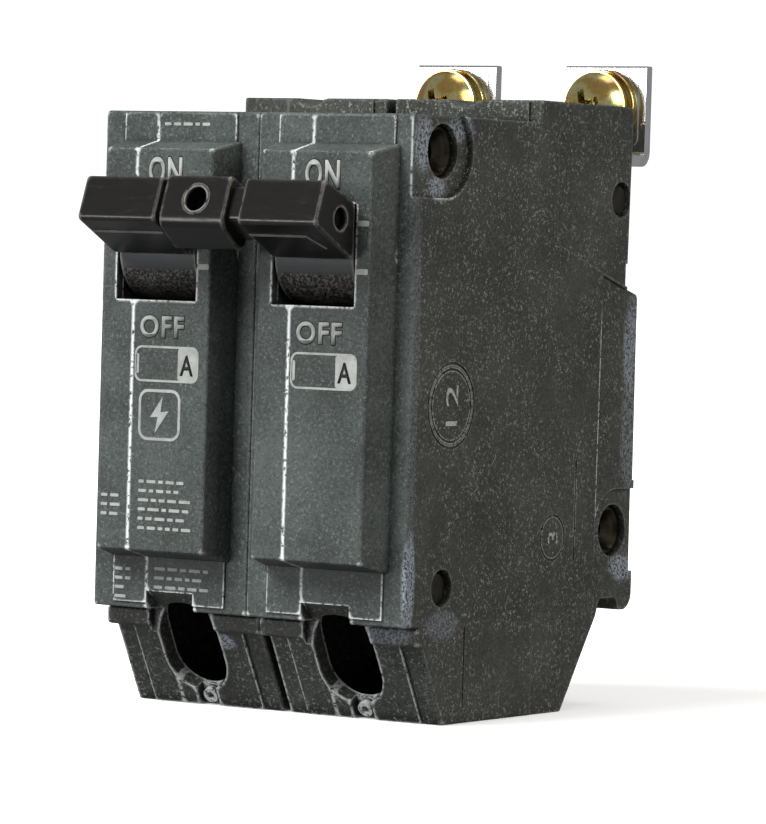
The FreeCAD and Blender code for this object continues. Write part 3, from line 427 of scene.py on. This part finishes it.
@dataclass(frozen=True)
class HandlePlastic:
    """Glossy black moulding with fine rub marks, a painted-light grey upper drum, pale edges that are partly rubbed
    wear and partly painted highlight, and a dusty foot to its drum.

    Each pair of lengths gives where a zone starts and where it is full, in mm.
    """

    name: str = "handle_plastic"
    body: Colour = linear("121110")
    rub: Colour = linear("262422")
    # Painted light: lit grey for the upper part of the drum.
    lit_drum_grey: Colour = linear("474a4b")
    # Pale grey for dust specks and for pale edges, which are partly wear and partly painted highlight.
    pale: Colour = linear("a09d97")
    drum_depth: tuple[float, float] = (-5.6, -4.9)
    lit_drum_height: tuple[float, float] = (59.2, 59.8)
    edge_reach: float = 0.8

    def make(self) -> bpy.types.Material:
        """Builds the material."""
        graph = Graph(self.name)
        drum = graph.behind_front().rise(*self.drum_depth)
        # Painted light: the upper drum is painted lit grey and the lower drum is left dark, as in shade.
        lit = drum * graph.along("Z").rise(*self.lit_drum_height)
        cloud = graph.noise(0.35, 4.0, 0.6)
        fine = graph.noise(3.0, 3.0, 0.7)
        rubbed = graph.noise(1.6, 3.0, 0.6, (0.25, 1, 1)).rise(0.52, 0.72)
        colour = graph.mix(rubbed * cloud.rise(0.4, 0.7) * 0.7, self.body, self.rub)
        colour = graph.mix(lit, colour, self.lit_drum_grey)
        gritty = (drum - lit).rise(0.2, 0.8) * fine.rise(0.46, 0.62)
        colour = graph.mix(gritty * 0.45 + graph.specks(1.6, 0.1, 0.06) * 0.6, colour, self.pale)
        # Pale edges: partly rubbed wear, partly painted highlight along the rounded edges and the paddles' noses.
        edge = (graph.edge(self.edge_reach) - cloud * 0.1).rise(0.16, 0.3)
        edge = edge * graph.noise(1.1, 3.0, 0.7).rise(0.3, 0.55)
        colour = graph.mix(edge * 0.55, colour, self.pale)
        normal = graph.bump(fine, 0.03, 0.3)
        roughness = 0.24 + cloud * 0.16 + rubbed * 0.12 + edge * 0.15 + lit * 0.2
        return graph.finish(Base_Color=colour, Roughness=roughness, Normal=normal)


@dataclass(frozen=True)
class Ink:
    """Pale pad-printed ink, worn through in specks."""

    name: str = "print_ink"
    ink: Colour = linear("a3a6a2")
    under: Colour = linear("3a3c3a")
    worn: float = 0.5

    def make(self) -> bpy.types.Material:
        """Builds the material."""
        graph = Graph(self.name)
        gone = graph.noise(2.4, 4.0, 0.7).rise(0.54, 0.7) * self.worn
        shade = graph.mix(graph.noise(0.5, 2.0).rise(0.3, 0.7), self.ink, tuple(c * 0.72 for c in self.ink))
        colour = graph.mix(gone, shade, self.under)
        normal = graph.bump(graph.noise(4.0, 2.0), 0.02, 0.4)
        return graph.finish(Base_Color=colour, Roughness=0.45 + gone * 0.25, Normal=normal)


@dataclass(frozen=True)
class Metal:
    """Bare or plated metal with rolling marks, stains and bright rubbed edges."""

    name: str
    body: Colour
    stain: Colour
    roughness: float = 0.3
    brush: tuple[float, float, float] = (1.0, 1.0, 0.08)
    stained: float = 0.5
    edge_reach: float = 0.2

    def make(self) -> bpy.types.Material:
        """Builds the material."""
        graph = Graph(self.name)
        streak = graph.noise(3.0, 2.0, 0.6, self.brush)
        cloud = graph.noise(0.3, 4.0, 0.65)
        colour = graph.mix(cloud.rise(0.42, 0.7) * self.stained, self.body, self.stain)
        colour = graph.mix(streak.rise(0.5, 0.8) * 0.3, colour, self.stain)
        edge = graph.edge(self.edge_reach).rise(0.1, 0.4)
        colour = graph.mix(edge * 0.5, colour, tuple(min(1.0, c * 1.25) for c in self.body))
        normal = graph.bump(streak * 0.7 + cloud * 0.3, 0.02, 0.35)
        roughness = self.roughness + cloud * 0.12 + streak * 0.08 - edge * 0.06
        return graph.finish(Base_Color=colour, Metallic=1.0, Roughness=roughness, Normal=normal)


@dataclass(frozen=True)
class YellowZinc:
    """Yellow-passivated zinc plate whose film drifts from gold to green and rose, with painted shade darkening its
    crevices.
    """

    name: str = "yellow_zinc"
    gold: Colour = linear("d9b963")
    green: Colour = linear("b3c07a")
    rose: Colour = linear("c9a07a")
    straw: Colour = linear("ece0a8")
    # Dark brown painted shade for the crevices.
    crevice_shade: Colour = linear("3c3012")

    def make(self) -> bpy.types.Material:
        """Builds the material."""
        graph = Graph(self.name)
        drift = graph.noise(0.28, 3.0, 0.55)
        stops = [(0.32, self.green), (0.45, self.straw), (0.55, self.gold), (0.68, self.rose)]
        colour = graph.node("ShaderNodeValToRGB", {"stops": stops}, {"Fac": drift}, "Color")
        # Painted shade: crevices darkened towards dark brown.
        crevice_shade = graph.crevice(0.8).rise(0.2, 0.6)
        colour = graph.mix(crevice_shade * 0.6, colour, self.crevice_shade)
        fine = graph.noise(3.5, 3.0, 0.6)
        normal = graph.bump(fine, 0.02, 0.35)
        return graph.finish(Base_Color=colour, Metallic=1.0, Roughness=0.16 + fine * 0.14, Normal=normal)


@dataclass(frozen=True)
class Fibre:
    """Pressed fibre board or plain moulded plastic with short flecks."""

    name: str
    body: Colour
    fleck: Colour
    roughness: float = 0.7

    def make(self) -> bpy.types.Material:
        """Builds the material."""
        graph = Graph(self.name)
        fleck = graph.noise(2.0, 3.0, 0.7, (1, 1, 0.2)).rise(0.5, 0.72)
        colour = graph.mix(fleck, self.body, self.fleck)
        normal = graph.bump(graph.noise(3.0, 2.0), 0.03, 0.4)
        return graph.finish(Base_Color=colour, Roughness=self.roughness + fleck * 0.1, Normal=normal)


@dataclass(frozen=True)
class Paper:
    """Pale seamless paper for the floor, lit a little from below."""

    name: str = "paper"
    body: Colour = linear("f6f6f6")
    glow: float = 0.4

    def make(self) -> bpy.types.Material:
        """Builds the material."""
        graph = Graph(self.name)
        cloud = graph.noise(0.01, 2.0)
        colour = graph.mix(cloud.rise(0.3, 0.7) * 0.3, self.body, tuple(c * 0.97 for c in self.body))
        return graph.finish(Base_Color=colour, Roughness=0.9 + cloud * 0.05, Emission_Color=(1.0, 1.0, 1.0),
                            Emission_Strength=self.glow)


class Finishes:
    """Makes each finish once and hands it out by name."""

    def __init__(self) -> None:
        """Lists what can be asked for."""
        self._makers = {
            "case": CasePlastic(),
            "handle": HandlePlastic(),
            "ink": Ink(),
            # Pale dashes on the paddles' lips: painted highlight along the ridge.
            "lip": Ink("lip_highlight", linear("8f8d89"), linear("1c1b1a"), 0.85),
            # Dark ink for the unit letter, also used as painted shadow round the words.
            "dark_ink_and_shadow": Ink("dark_ink_and_shadow", linear("1d1e1d"), linear("2a2b2a")),
            "tin": Metal("bright_tin", linear("eceef0"), linear("b9bcc0"), 0.14, (1, 1, 0.1), 0.35),
            "steel": Metal("pressed_steel", linear("a3a5a8"), linear("6f7073"), 0.32),
            "blackened": Metal("blackened_steel", linear("2a2a2a"), linear("191817"), 0.42),
            "eyelet_steel": Metal("dark_plated_steel", linear("4b463a"), linear("171613"), 0.24, stained=0.8),
            "rivet_steel": Metal("gritty_steel", linear("45443f"), linear("1b1a18"), 0.4, stained=0.9),
            "copper": Metal("stamped_copper", linear("c98562"), linear("8a4f34"), 0.28),
            "silver": Metal("contact_silver", linear("d6d6d2"), linear("98958c"), 0.3),
            "brass": Metal("turned_brass", linear("cdb06a"), linear("8c7334"), 0.24),
            "aluminium": Metal("extruded_aluminium", linear("8f9193"), linear("55575a"), 0.4),
            "bimetal": Metal("rolled_bimetal", linear("a8a395"), linear("7d7666"), 0.3),
            "zinc": YellowZinc(),
            "fibre": Fibre("fibre_board", linear("8a7a5c"), linear("5f5238")),
            "red_plastic": Fibre("trip_bar_plastic", linear("7a2c20"), linear("5a1e16"), 0.5),
            "paper": Paper(),
        }
        self._made: dict[str, bpy.types.Material] = {}

    def get(self, name: str) -> bpy.types.Material:
        """Returns the finish, making it the first time."""
        if name not in self._made:
            self._made[name] = self._makers[name].make()
        return self._made[name]


# ---------------------------------------------------------------- mesh tools
def dress(node: str, material: bpy.types.Material) -> None:
    """Gives a frame node its finish.

    Args:
        node: The node's name.
        material: Its material.
    """
    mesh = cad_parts[node].data
    mesh.materials.clear()
    mesh.materials.append(material)
    LOG.info("dressed %s in %s", node, material.name)


def add_piece(name: str, shape: bmesh.types.BMesh, materials: list[bpy.types.Material], body: str) -> bpy.types.Object:
    """Makes a finished object from a shape and sets it on its body.

    Args:
        name: The piece's name.
        shape: Its mesh in the part's own frame; it is freed here.
        materials: Its materials, in order.
        body: The frame body that it rides on.

    Returns:
        The object.
    """
    bmesh.ops.recalc_face_normals(shape, faces=shape.faces)
    mesh = bpy.data.meshes.new(name)
    shape.to_mesh(mesh)
    shape.free()
    for material in materials:
        mesh.materials.append(material)
    piece = bpy.data.objects.new(name, mesh)
    bpy.context.scene.collection.objects.link(piece)
    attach(piece, body)
    LOG.info("made %s with %d faces", name, len(mesh.polygons))
    return piece


def thicken(shape: bmesh.types.BMesh, thick: float) -> None:
    """Gives flat faces in local XY a thickness towards local Z, closed all round."""
    made = bmesh.ops.extrude_face_region(shape, geom=shape.faces[:], use_keep_orig=True)
    moved = [item for item in made["geom"] if isinstance(item, bmesh.types.BMVert)]
    bmesh.ops.translate(shape, verts=moved, vec=(0, 0, thick))


def rounded_plate(width: float, height: float, corner: float) -> bmesh.types.BMesh:
    """Flat rectangle with round corners, in mm, centred on local XY."""
    shape = bmesh.new()
    bmesh.ops.create_grid(shape, x_segments=1, y_segments=1, size=0.5)
    bmesh.ops.scale(shape, vec=(width * MM, height * MM, 1), verts=shape.verts)
    bmesh.ops.bevel(shape, geom=shape.verts[:], offset=corner * MM, segments=6, profile=0.5,
                    affect="VERTICES", material=-1)
    return shape


def rounded_frame(width: float, height: float, corner: float, line: float) -> bmesh.types.BMesh:
    """Flat frame with round corners and an even line, in mm."""
    shape = rounded_plate(width, height, corner)
    bmesh.ops.inset_region(shape, faces=shape.faces[:], thickness=line * MM, use_even_offset=True,
                            use_boundary=True)
    middle = min(shape.faces, key=lambda face: face.calc_center_median().length)
    bmesh.ops.delete(shape, geom=[middle], context="FACES")
    return shape


def polygon(points: tuple[tuple[float, float], ...]) -> bmesh.types.BMesh:
    """Flat face through a few (x, y) points, in mm."""
    shape = bmesh.new()
    shape.faces.new([shape.verts.new((x * MM, y * MM, 0)) for x, y in points])
    return shape


def lettering(text: str, width: float, height: float, spread: float = 0.0) -> bmesh.types.BMesh:
    """Flat letters scaled to a width and height, centred on local XY.

    Args:
        text: The characters.
        width: Overall width, in mm.
        height: Height of the capitals, in mm.
        spread: How far the outline is grown, as a share of the letter height.

    Returns:
        The letters' faces.
    """
    curve = bpy.data.curves.new("letters", "FONT")
    curve.body = text
    curve.resolution_u = 6
    curve.space_character = 1.12
    plain = bpy.data.objects.new("letters", curve)
    bare = bpy.data.meshes.new_from_object(plain)
    low = Vector(min(v.co[i] for v in bare.vertices) for i in range(3))
    high = Vector(max(v.co[i] for v in bare.vertices) for i in range(3))
    curve.offset = spread
    grown = bpy.data.meshes.new_from_object(plain)
    shape = bmesh.new()
    shape.from_mesh(grown)
    bpy.data.objects.remove(plain)
    for leftover in (bare, grown):
        bpy.data.meshes.remove(leftover)
    bpy.data.curves.remove(curve)
    bmesh.ops.remove_doubles(shape, verts=shape.verts, dist=1e-5)
    bmesh.ops.translate(shape, verts=shape.verts, vec=-(low + high) / 2)
    size = high - low
    bmesh.ops.scale(shape, vec=(width * MM / size.x, height * MM / size.y, 1), verts=shape.verts)
    return shape


def join_into(target: bmesh.types.BMesh, part: bmesh.types.BMesh, place: Matrix, index: int = 0) -> None:
    """Adds a part to a target at a place, with a material number, and frees the part."""
    bmesh.ops.transform(part, matrix=place, verts=part.verts)
    for face in part.faces:
        face.material_index = index
    spare = bpy.data.meshes.new("spare")
    part.to_mesh(spare)
    part.free()
    target.from_mesh(spare)
    bpy.data.meshes.remove(spare)


# ---------------------------------------------------------------- sub-assemblies
@dataclass(frozen=True)
class DashBlock:
    """Rows of dashes on a pole's front, in mm, behind being its depth behind the plateau's front."""

    start: float
    top: float
    rows: int
    width: float
    behind: float = 0.0


@dataclass
class PrintedFront:
    """What is printed on one pole's plateau: words with a painted shadow round them, rating window, index bars and
    emblem.
    """

    pole: Pole
    ink_thick: float = 0.05
    thin_ink: float = 0.03
    on_place: tuple[float, float] = (1.05, 72.6)
    on_size: tuple[float, float] = (5.3, 3.6)
    letter_spread: float = 0.026
    shade_spread: float = 0.055
    shade_thick: float = 0.02
    off_place: tuple[float, float] = (1.2, 51.75)
    off_size: tuple[float, float] = (7.0, 2.75)
    window_place: tuple[float, float] = (2.1, 46.75)
    window_size: tuple[float, float] = (10.5, 4.85)
    window_corner: float = 1.1
    window_split: float = 1.85
    panel_corner: float = 0.35
    unit_size: tuple[float, float] = (2.0, 2.6)
    unit_shift: float = -0.1
    line: float = 0.3
    emblem_place: tuple[float, float] = (1.14, 39.9)
    emblem_size: float = 6.9
    emblem_corner: float = 1.5
    emblem_line: float = 0.4
    bolt: tuple[tuple[float, float], ...] = (
        (0.5, 2.5), (-1.5, -0.35), (-0.25, -0.25), (-0.7, -2.5), (1.5, 0.55), (0.2, 0.4))
    bars: tuple[float, ...] = (66.25, 59.95)
    bar_x: tuple[float, float] = (6.8, 8.6)
    bar_height: float = 0.75
    dash_height: float = 0.42
    dash_gap: float = 0.45
    dash_pitch: float = 1.25
    dash_lengths: tuple[float, float] = (0.7, 1.9)
    shortest_dash: float = 0.4
    shortest_row: float = 0.66
    dash_blocks: tuple[DashBlock, ...] = (
        DashBlock(-2.0, 30.9, 6, 9.6),
        DashBlock(-8.2, 28.8, 3, 3.6),
        DashBlock(-2.3, 18.9, 3, 10.0, PLATEAU_RISE - STRIP_RISE),
        DashBlock(-8.9, 18.6, 4, 2.6, PLATEAU_RISE - STRIP_RISE),
        DashBlock(-2.6, 79.1, 1, 8.0, PLATEAU_RISE - STRIP_RISE),
    )

    def build(self, finishes: Finishes) -> None:
        """Makes the pole's printed pieces."""
        self._word(finishes, "on_mark", "ON", self.on_place, self.on_size)
        self._word(finishes, "off_mark", "OFF", self.off_place, self.off_size)
        self._rating_window(finishes)
        self._index_bars(finishes)
        if self.pole is Pole.LEFT:
            self._emblem(finishes)
            self._data_lines(finishes)

    def _add(self, finishes: Finishes, name: str, shape: bmesh.types.BMesh) -> None:
        """Sets a print on the case with its pale ink and its dark ink, which round the words is painted shadow."""
        inks = [finishes.get("ink"), finishes.get("dark_ink_and_shadow")]
        add_piece(f"{self.pole.value}_{name}", shape, inks, "case")

    def _word(self, finishes: Finishes, name: str, text: str, place: tuple[float, float],
              size: tuple[float, float]) -> None:
        """Prints a word with a thin dark painted shadow round it."""
        shape = bmesh.new()
        shade = (self.shade_spread, self.shade_thick, 1)
        face = (self.letter_spread, self.ink_thick, 0)
        for spread, thick, index in (shade, face):
            letters = lettering(text, size[0], size[1], spread)
            thicken(letters, thick * MM)
            join_into(shape, letters, SITE.on_front(self.pole, *place), index)
        self._add(finishes, name, shape)

    def _rating_window(self, finishes: Finishes) -> None:
        """Frame with a pale end panel that holds the unit letter."""
        width, height = self.window_size
        x, h = self.window_place
        shape = bmesh.new()
        outline = rounded_frame(width, height, self.window_corner, self.line)
        thicken(outline, self.ink_thick * MM)
        join_into(shape, outline, SITE.on_front(self.pole, x, h))
        panel_width = width / 2 - self.window_split - self.line
        panel = rounded_plate(panel_width, height - 2 * self.line, self.panel_corner)
        thicken(panel, self.thin_ink * MM)
        panel_x = x + self.window_split + panel_width / 2
        join_into(shape, panel, SITE.on_front(self.pole, panel_x, h))
        unit = lettering("A", *self.unit_size, 0.02)
        thicken(unit, self.thin_ink * MM)
        unit_x = panel_x + self.unit_shift
        join_into(shape, unit, SITE.on_front(self.pole, unit_x, h + self.unit_shift, 0.025), 1)
        stripe = rounded_plate(self.line * 1.8, height - 2.2, 0.2)
        thicken(stripe, self.ink_thick * MM)
        join_into(shape, stripe, SITE.on_front(self.pole, x - width / 2 + self.line * 1.5, h))
        self._add(finishes, "rating_window", shape)

    def _index_bars(self, finishes: Finishes) -> None:
        """Short bars beside the handle's window."""
        shape = bmesh.new()
        wanted = self.bars if self.pole is Pole.RIGHT else self.bars[1:]
        for h in wanted:
            bar = rounded_plate(self.bar_x[1] - self.bar_x[0], self.bar_height, 0.15)
            thicken(bar, self.ink_thick * MM)
            join_into(shape, bar, SITE.on_front(self.pole, sum(self.bar_x) / 2, h))
        self._add(finishes, "index_bars", shape)

    def _emblem(self, finishes: Finishes) -> None:
        """Plain live-parts bolt in a rounded square."""
        shape = bmesh.new()
        outline = rounded_frame(self.emblem_size, self.emblem_size, self.emblem_corner, self.emblem_line)
        thicken(outline, self.ink_thick * MM)
        join_into(shape, outline, SITE.on_front(self.pole, *self.emblem_place))
        bolt = polygon(self.bolt)
        thicken(bolt, self.ink_thick * MM)
        join_into(shape, bolt, SITE.on_front(self.pole, *self.emblem_place))
        self._add(finishes, "bolt_emblem", shape)

    def _data_lines(self, finishes: Finishes) -> None:
        """Rows of plain dashes in place of data text, on the plateau and the strip round it."""
        chance = random.Random(7)
        shape = bmesh.new()
        for block in self.dash_blocks:
            limit = block.start + block.width
            for row in range(block.rows):
                x = block.start
                h = block.top - self.dash_pitch * row
                end = block.start + block.width * chance.uniform(self.shortest_row, 1.0)
                while x < end:
                    length = min(chance.uniform(*self.dash_lengths), limit - x)
                    if length > self.shortest_dash:
                        dash = rounded_plate(length, self.dash_height, 0.12)
                        thicken(dash, self.ink_thick * MM)
                        place = SITE.on_front(self.pole, x + length / 2, h, -block.behind)
                        join_into(shape, dash, place)
                    x += length + self.dash_gap
        self._add(finishes, "data_lines", shape)


@dataclass
class SideNumerals:
    """Moulded numerals inside the ring grooves of one outer side."""

    side: Side
    raised: float = 0.12
    sunk: float = 0.02
    big_place: tuple[float, float] = (9.85, 42.55)
    big_size: tuple[float, float] = (5.4, 2.9)
    small_place: tuple[float, float] = (36.6, 24.14)
    small_size: tuple[float, float] = (1.6, 2.6)

    def build(self, finishes: Finishes) -> None:
        """Makes the raised numerals."""
        shape = bmesh.new()
        sunk = Matrix.Translation((-self.side.value * self.sunk * MM, 0, 0))
        big = ("12", self.big_place, self.big_size)
        small = ("3", self.small_place, self.small_size)
        for text, place, size in (big, small):
            letters = lettering(text, *size)
            thicken(letters, (self.raised + self.sunk) * MM)
            join_into(shape, letters, sunk @ SITE.on_side(self.side, *place, turn=90))
        add_piece(f"{self.side.name.lower()}_side_numerals", shape, [finishes.get("case")], "case")


@dataclass
class PaddleLips:
    """Thin raised lip across the underside of each paddle, with a short return on the right one, its pale dashes a
    painted highlight along the ridge.
    """

    nose: tuple[float, float] = (-14.35, 65.95)
    back: tuple[float, float] = (-5.25, 61.2)
    down: float = 3.35
    wide: float = 0.32
    proud: float = 0.16
    sunk: float = 0.05
    across: dict[Pole, tuple[float, float]] = field(default_factory=lambda: {
        Pole.LEFT: (-18.6, -7.2), Pole.RIGHT: (7.0, 15.9)})
    turned_back: tuple[float, float] = (1.3, 3.1)

    def build(self, finishes: Finishes) -> None:
        """Makes the lip of each handle."""
        for pole in Pole:
            start, end = self.across[pole]
            shape = bmesh.new()
            self._rail(shape, (start, 0.0), (end, 0.0))
            if pole is Pole.RIGHT:
                self._rail(shape, (end, 0.0), (end + self.turned_back[0], self.turned_back[1]))
            add_piece(f"{pole.value}_paddle_lip", shape, [finishes.get("lip")], "handle")

    def _rail(self, shape: bmesh.types.BMesh, start: tuple[float, float], end: tuple[float, float]) -> None:
        """Adds one straight run of lip.

        Args:
            shape: What it is added to.
            start: X and the distance behind the lip's line, in mm.
            end: The same at its other end.
        """
        run = Vector((end[0] - start[0], end[1] - start[1]))
        bar = rounded_plate(run.length + self.wide, self.wide, self.wide * 0.45)
        thicken(bar, (self.proud + self.sunk) * MM)
        slope = math.atan2(self.nose[1] - self.back[1], self.back[0] - self.nose[0])
        along = self.down + (start[1] + end[1]) / 2
        middle = ((start[0] + end[0]) / 2, self.nose[0] + along * math.cos(slope),
                  self.nose[1] - along * math.sin(slope))
        place = Matrix.Translation(Vector(SITE.in_mm(*middle)) * MM)
        place = place @ Matrix.Rotation(math.pi - slope, 4, "X")
        turn = Matrix.Rotation(-math.atan2(run.y, run.x), 4, "Z")
        join_into(shape, bar, place @ turn @ Matrix.Translation((0, 0, -self.sunk * MM)))


@dataclass
class Mouldings:
    """Case halves, handles and the trip bar."""

    def build(self, finishes: Finishes) -> None:
        """Dresses the moulded pieces."""
        for pole in Pole:
            dress(pole.value + "_case_base", finishes.get("case"))
            dress(pole.value + "_case_cover", finishes.get("case"))
            dress(pole.value + "_handle", finishes.get("handle"))
        dress("handle_tie", finishes.get("handle"))
        dress("trip_bar", finishes.get("red_plastic"))


@dataclass
class LineHardware:
    """Bolt-on tabs with their screws and washers."""

    finish_of: dict = field(default_factory=lambda: {
        "line_strap": "tin", "line_screw": "zinc", "lock_washer": "zinc", "flat_washer": "zinc"})

    def build(self, finishes: Finishes) -> None:
        """Dresses the hardware of both poles."""
        for pole in Pole:
            for name, finish in self.finish_of.items():
                dress(f"{pole.value}_{name}", finishes.get(finish))


@dataclass
class Mechanism:
    """Everything inside the case, and the rivets through it."""

    finish_of: dict = field(default_factory=lambda: {
        "arm_pin": "steel", "contact_arm": "copper", "moving_contact": "silver", "fixed_contact": "silver",
        "arc_plates": "steel", "arc_chute_boards": "fibre", "cradle": "steel", "cradle_pin": "steel",
        "toggle_spring": "steel", "armature": "steel", "armature_pin": "steel", "armature_spring": "steel",
        "magnet_yoke": "steel", "bimetal": "bimetal", "calibration_screw": "brass", "load_strap": "copper",
        "braid": "copper", "lug": "aluminium", "lug_screw": "blackened"})

    def build(self, finishes: Finishes) -> None:
        """Dresses the mechanism of both poles and the shared fasteners."""
        for pole in Pole:
            for name, finish in self.finish_of.items():
                dress(f"{pole.value}_{name}", finishes.get(finish))
        dress("tie_pin", finishes.get("blackened"))
        dress("case_eyelets", finishes.get("eyelet_steel"))
        dress("case_rivets", finishes.get("rivet_steel"))


# ---------------------------------------------------------------- studio
@dataclass(frozen=True)
class SoftLight:
    """One square light, placed from the middle of the part in metres."""

    name: str
    offset: tuple[float, float, float]
    size: float
    power: float
    colour: Colour


@dataclass
class Studio:
    """Pale floor, soft lights and the camera."""

    camera_place: tuple[float, float, float] = (374.12, -537.34, 62.34)
    yaw: float = 33.306
    pitch: float = 1.844
    roll: float = 1.691
    lens: float = 213.96
    sensor: float = 36.0
    floor_half: float = 4.0
    floor_gap: float = 0.00005
    backdrop_level: float = 1.1
    ambient_level: float = 0.32
    sun_level: float = 5.4
    sun_spread: float = 36.0
    sun_from: tuple[float, float, float] = (-0.34, -0.58, 0.74)
    soft_lights: tuple[SoftLight, ...] = (
        SoftLight("front_low", (-0.5, -0.9, -0.02), 0.35, 4.0, (1.0, 1.0, 1.0)),
        SoftLight("side_fill", (1.1, -0.1, 0.55), 0.7, 6.8, (1.0, 0.95, 0.88)),
        SoftLight("top", (0.1, 0.3, 1.1), 0.5, 2.0, (1.0, 1.0, 1.0)),
    )

    def build(self, finishes: Finishes) -> None:
        """Sets the stage."""
        self._floor(finishes)
        self._world()
        middle = (Vector(CAD_BOX[0]) + Vector(CAD_BOX[1])) / 2
        self._sun()
        for light in self.soft_lights:
            self._light(light, middle)
        self._camera()

    def _floor(self, finishes: Finishes) -> None:
        """Wide sheet just under the foot."""
        shape = bmesh.new()
        bmesh.ops.create_grid(shape, x_segments=8, y_segments=8, size=self.floor_half)
        bmesh.ops.translate(shape, verts=shape.verts, vec=(0, 0, -self.floor_gap))
        mesh = bpy.data.meshes.new("floor")
        shape.to_mesh(mesh)
        shape.free()
        mesh.materials.append(finishes.get("paper"))
        floor = bpy.data.objects.new("floor", mesh)
        bpy.context.scene.collection.objects.link(floor)
        floor.visible_diffuse = False
        floor.visible_glossy = False

    def _world(self) -> None:
        """White beyond the floor, and a much dimmer white as light on the part."""
        world = bpy.data.worlds.new("studio")
        world.use_nodes = True
        nodes = world.node_tree.nodes
        shown = nodes["Background"]
        shown.inputs["Color"].default_value = (1.0, 1.0, 1.0, 1.0)
        shown.inputs["Strength"].default_value = self.backdrop_level
        ambient = nodes.new("ShaderNodeBackground")
        ambient.inputs["Strength"].default_value = self.ambient_level
        path = nodes.new("ShaderNodeLightPath")
        choice = nodes.new("ShaderNodeMixShader")
        links = world.node_tree.links
        links.new(path.outputs["Is Camera Ray"], choice.inputs[0])
        links.new(ambient.outputs[0], choice.inputs[1])
        links.new(shown.outputs[0], choice.inputs[2])
        links.new(choice.outputs[0], nodes["World Output"].inputs["Surface"])
        bpy.context.scene.world = world
        bpy.context.scene.view_settings.view_transform = "Standard"

    def _sun(self) -> None:
        """Broad key light from the front left above."""
        lamp = bpy.data.lights.new("key", "SUN")
        lamp.energy = self.sun_level
        lamp.angle = math.radians(self.sun_spread)
        holder = bpy.data.objects.new("key", lamp)
        holder.matrix_world = Vector(self.sun_from).to_track_quat("Z", "Y").to_matrix().to_4x4()
        holder.visible_glossy = False
        bpy.context.scene.collection.objects.link(holder)

    def _light(self, light: SoftLight, aim: Vector) -> None:
        """Adds one soft light that faces a point.

        Args:
            light: Its name, place, size, power and colour.
            aim: The point that it faces and is placed from.
        """
        lamp = bpy.data.lights.new(light.name, "AREA")
        lamp.size = light.size
        lamp.energy = light.power
        lamp.color = light.colour
        holder = bpy.data.objects.new(light.name, lamp)
        place = aim + Vector(light.offset)
        facing = (aim - place).to_track_quat("-Z", "Y").to_matrix().to_4x4()
        holder.matrix_world = Matrix.Translation(place) @ facing
        bpy.context.scene.collection.objects.link(holder)

    def _camera(self) -> None:
        """Long lens at the wanted viewing angle."""
        data = bpy.data.cameras.new("view")
        data.lens = self.lens
        data.sensor_width = self.sensor
        camera = bpy.data.objects.new("view", data)
        turn = Matrix.Rotation(math.radians(self.yaw), 4, "Z")
        turn = turn @ Matrix.Rotation(math.radians(90 - self.pitch), 4, "X")
        turn = turn @ Matrix.Rotation(math.radians(self.roll), 4, "Z")
        place = Vector(SITE.in_mm(*self.camera_place)) * MM
        camera.matrix_world = Matrix.Translation(place) @ turn
        bpy.context.scene.collection.objects.link(camera)
        bpy.context.scene.camera = camera


def main() -> None:
    """Builds the looks in order."""
    logging.basicConfig(level=logging.INFO, format="%(name)s: %(message)s")
    finishes = Finishes()
    Studio().build(finishes)
    Mouldings().build(finishes)
    PaddleLips().build(finishes)
    LineHardware().build(finishes)
    Mechanism().build(finishes)
    for pole in Pole:
        PrintedFront(pole).build(finishes)
    for side in Side:
        SideNumerals(side).build(finishes)


if __name__ == "__main__":
    main()
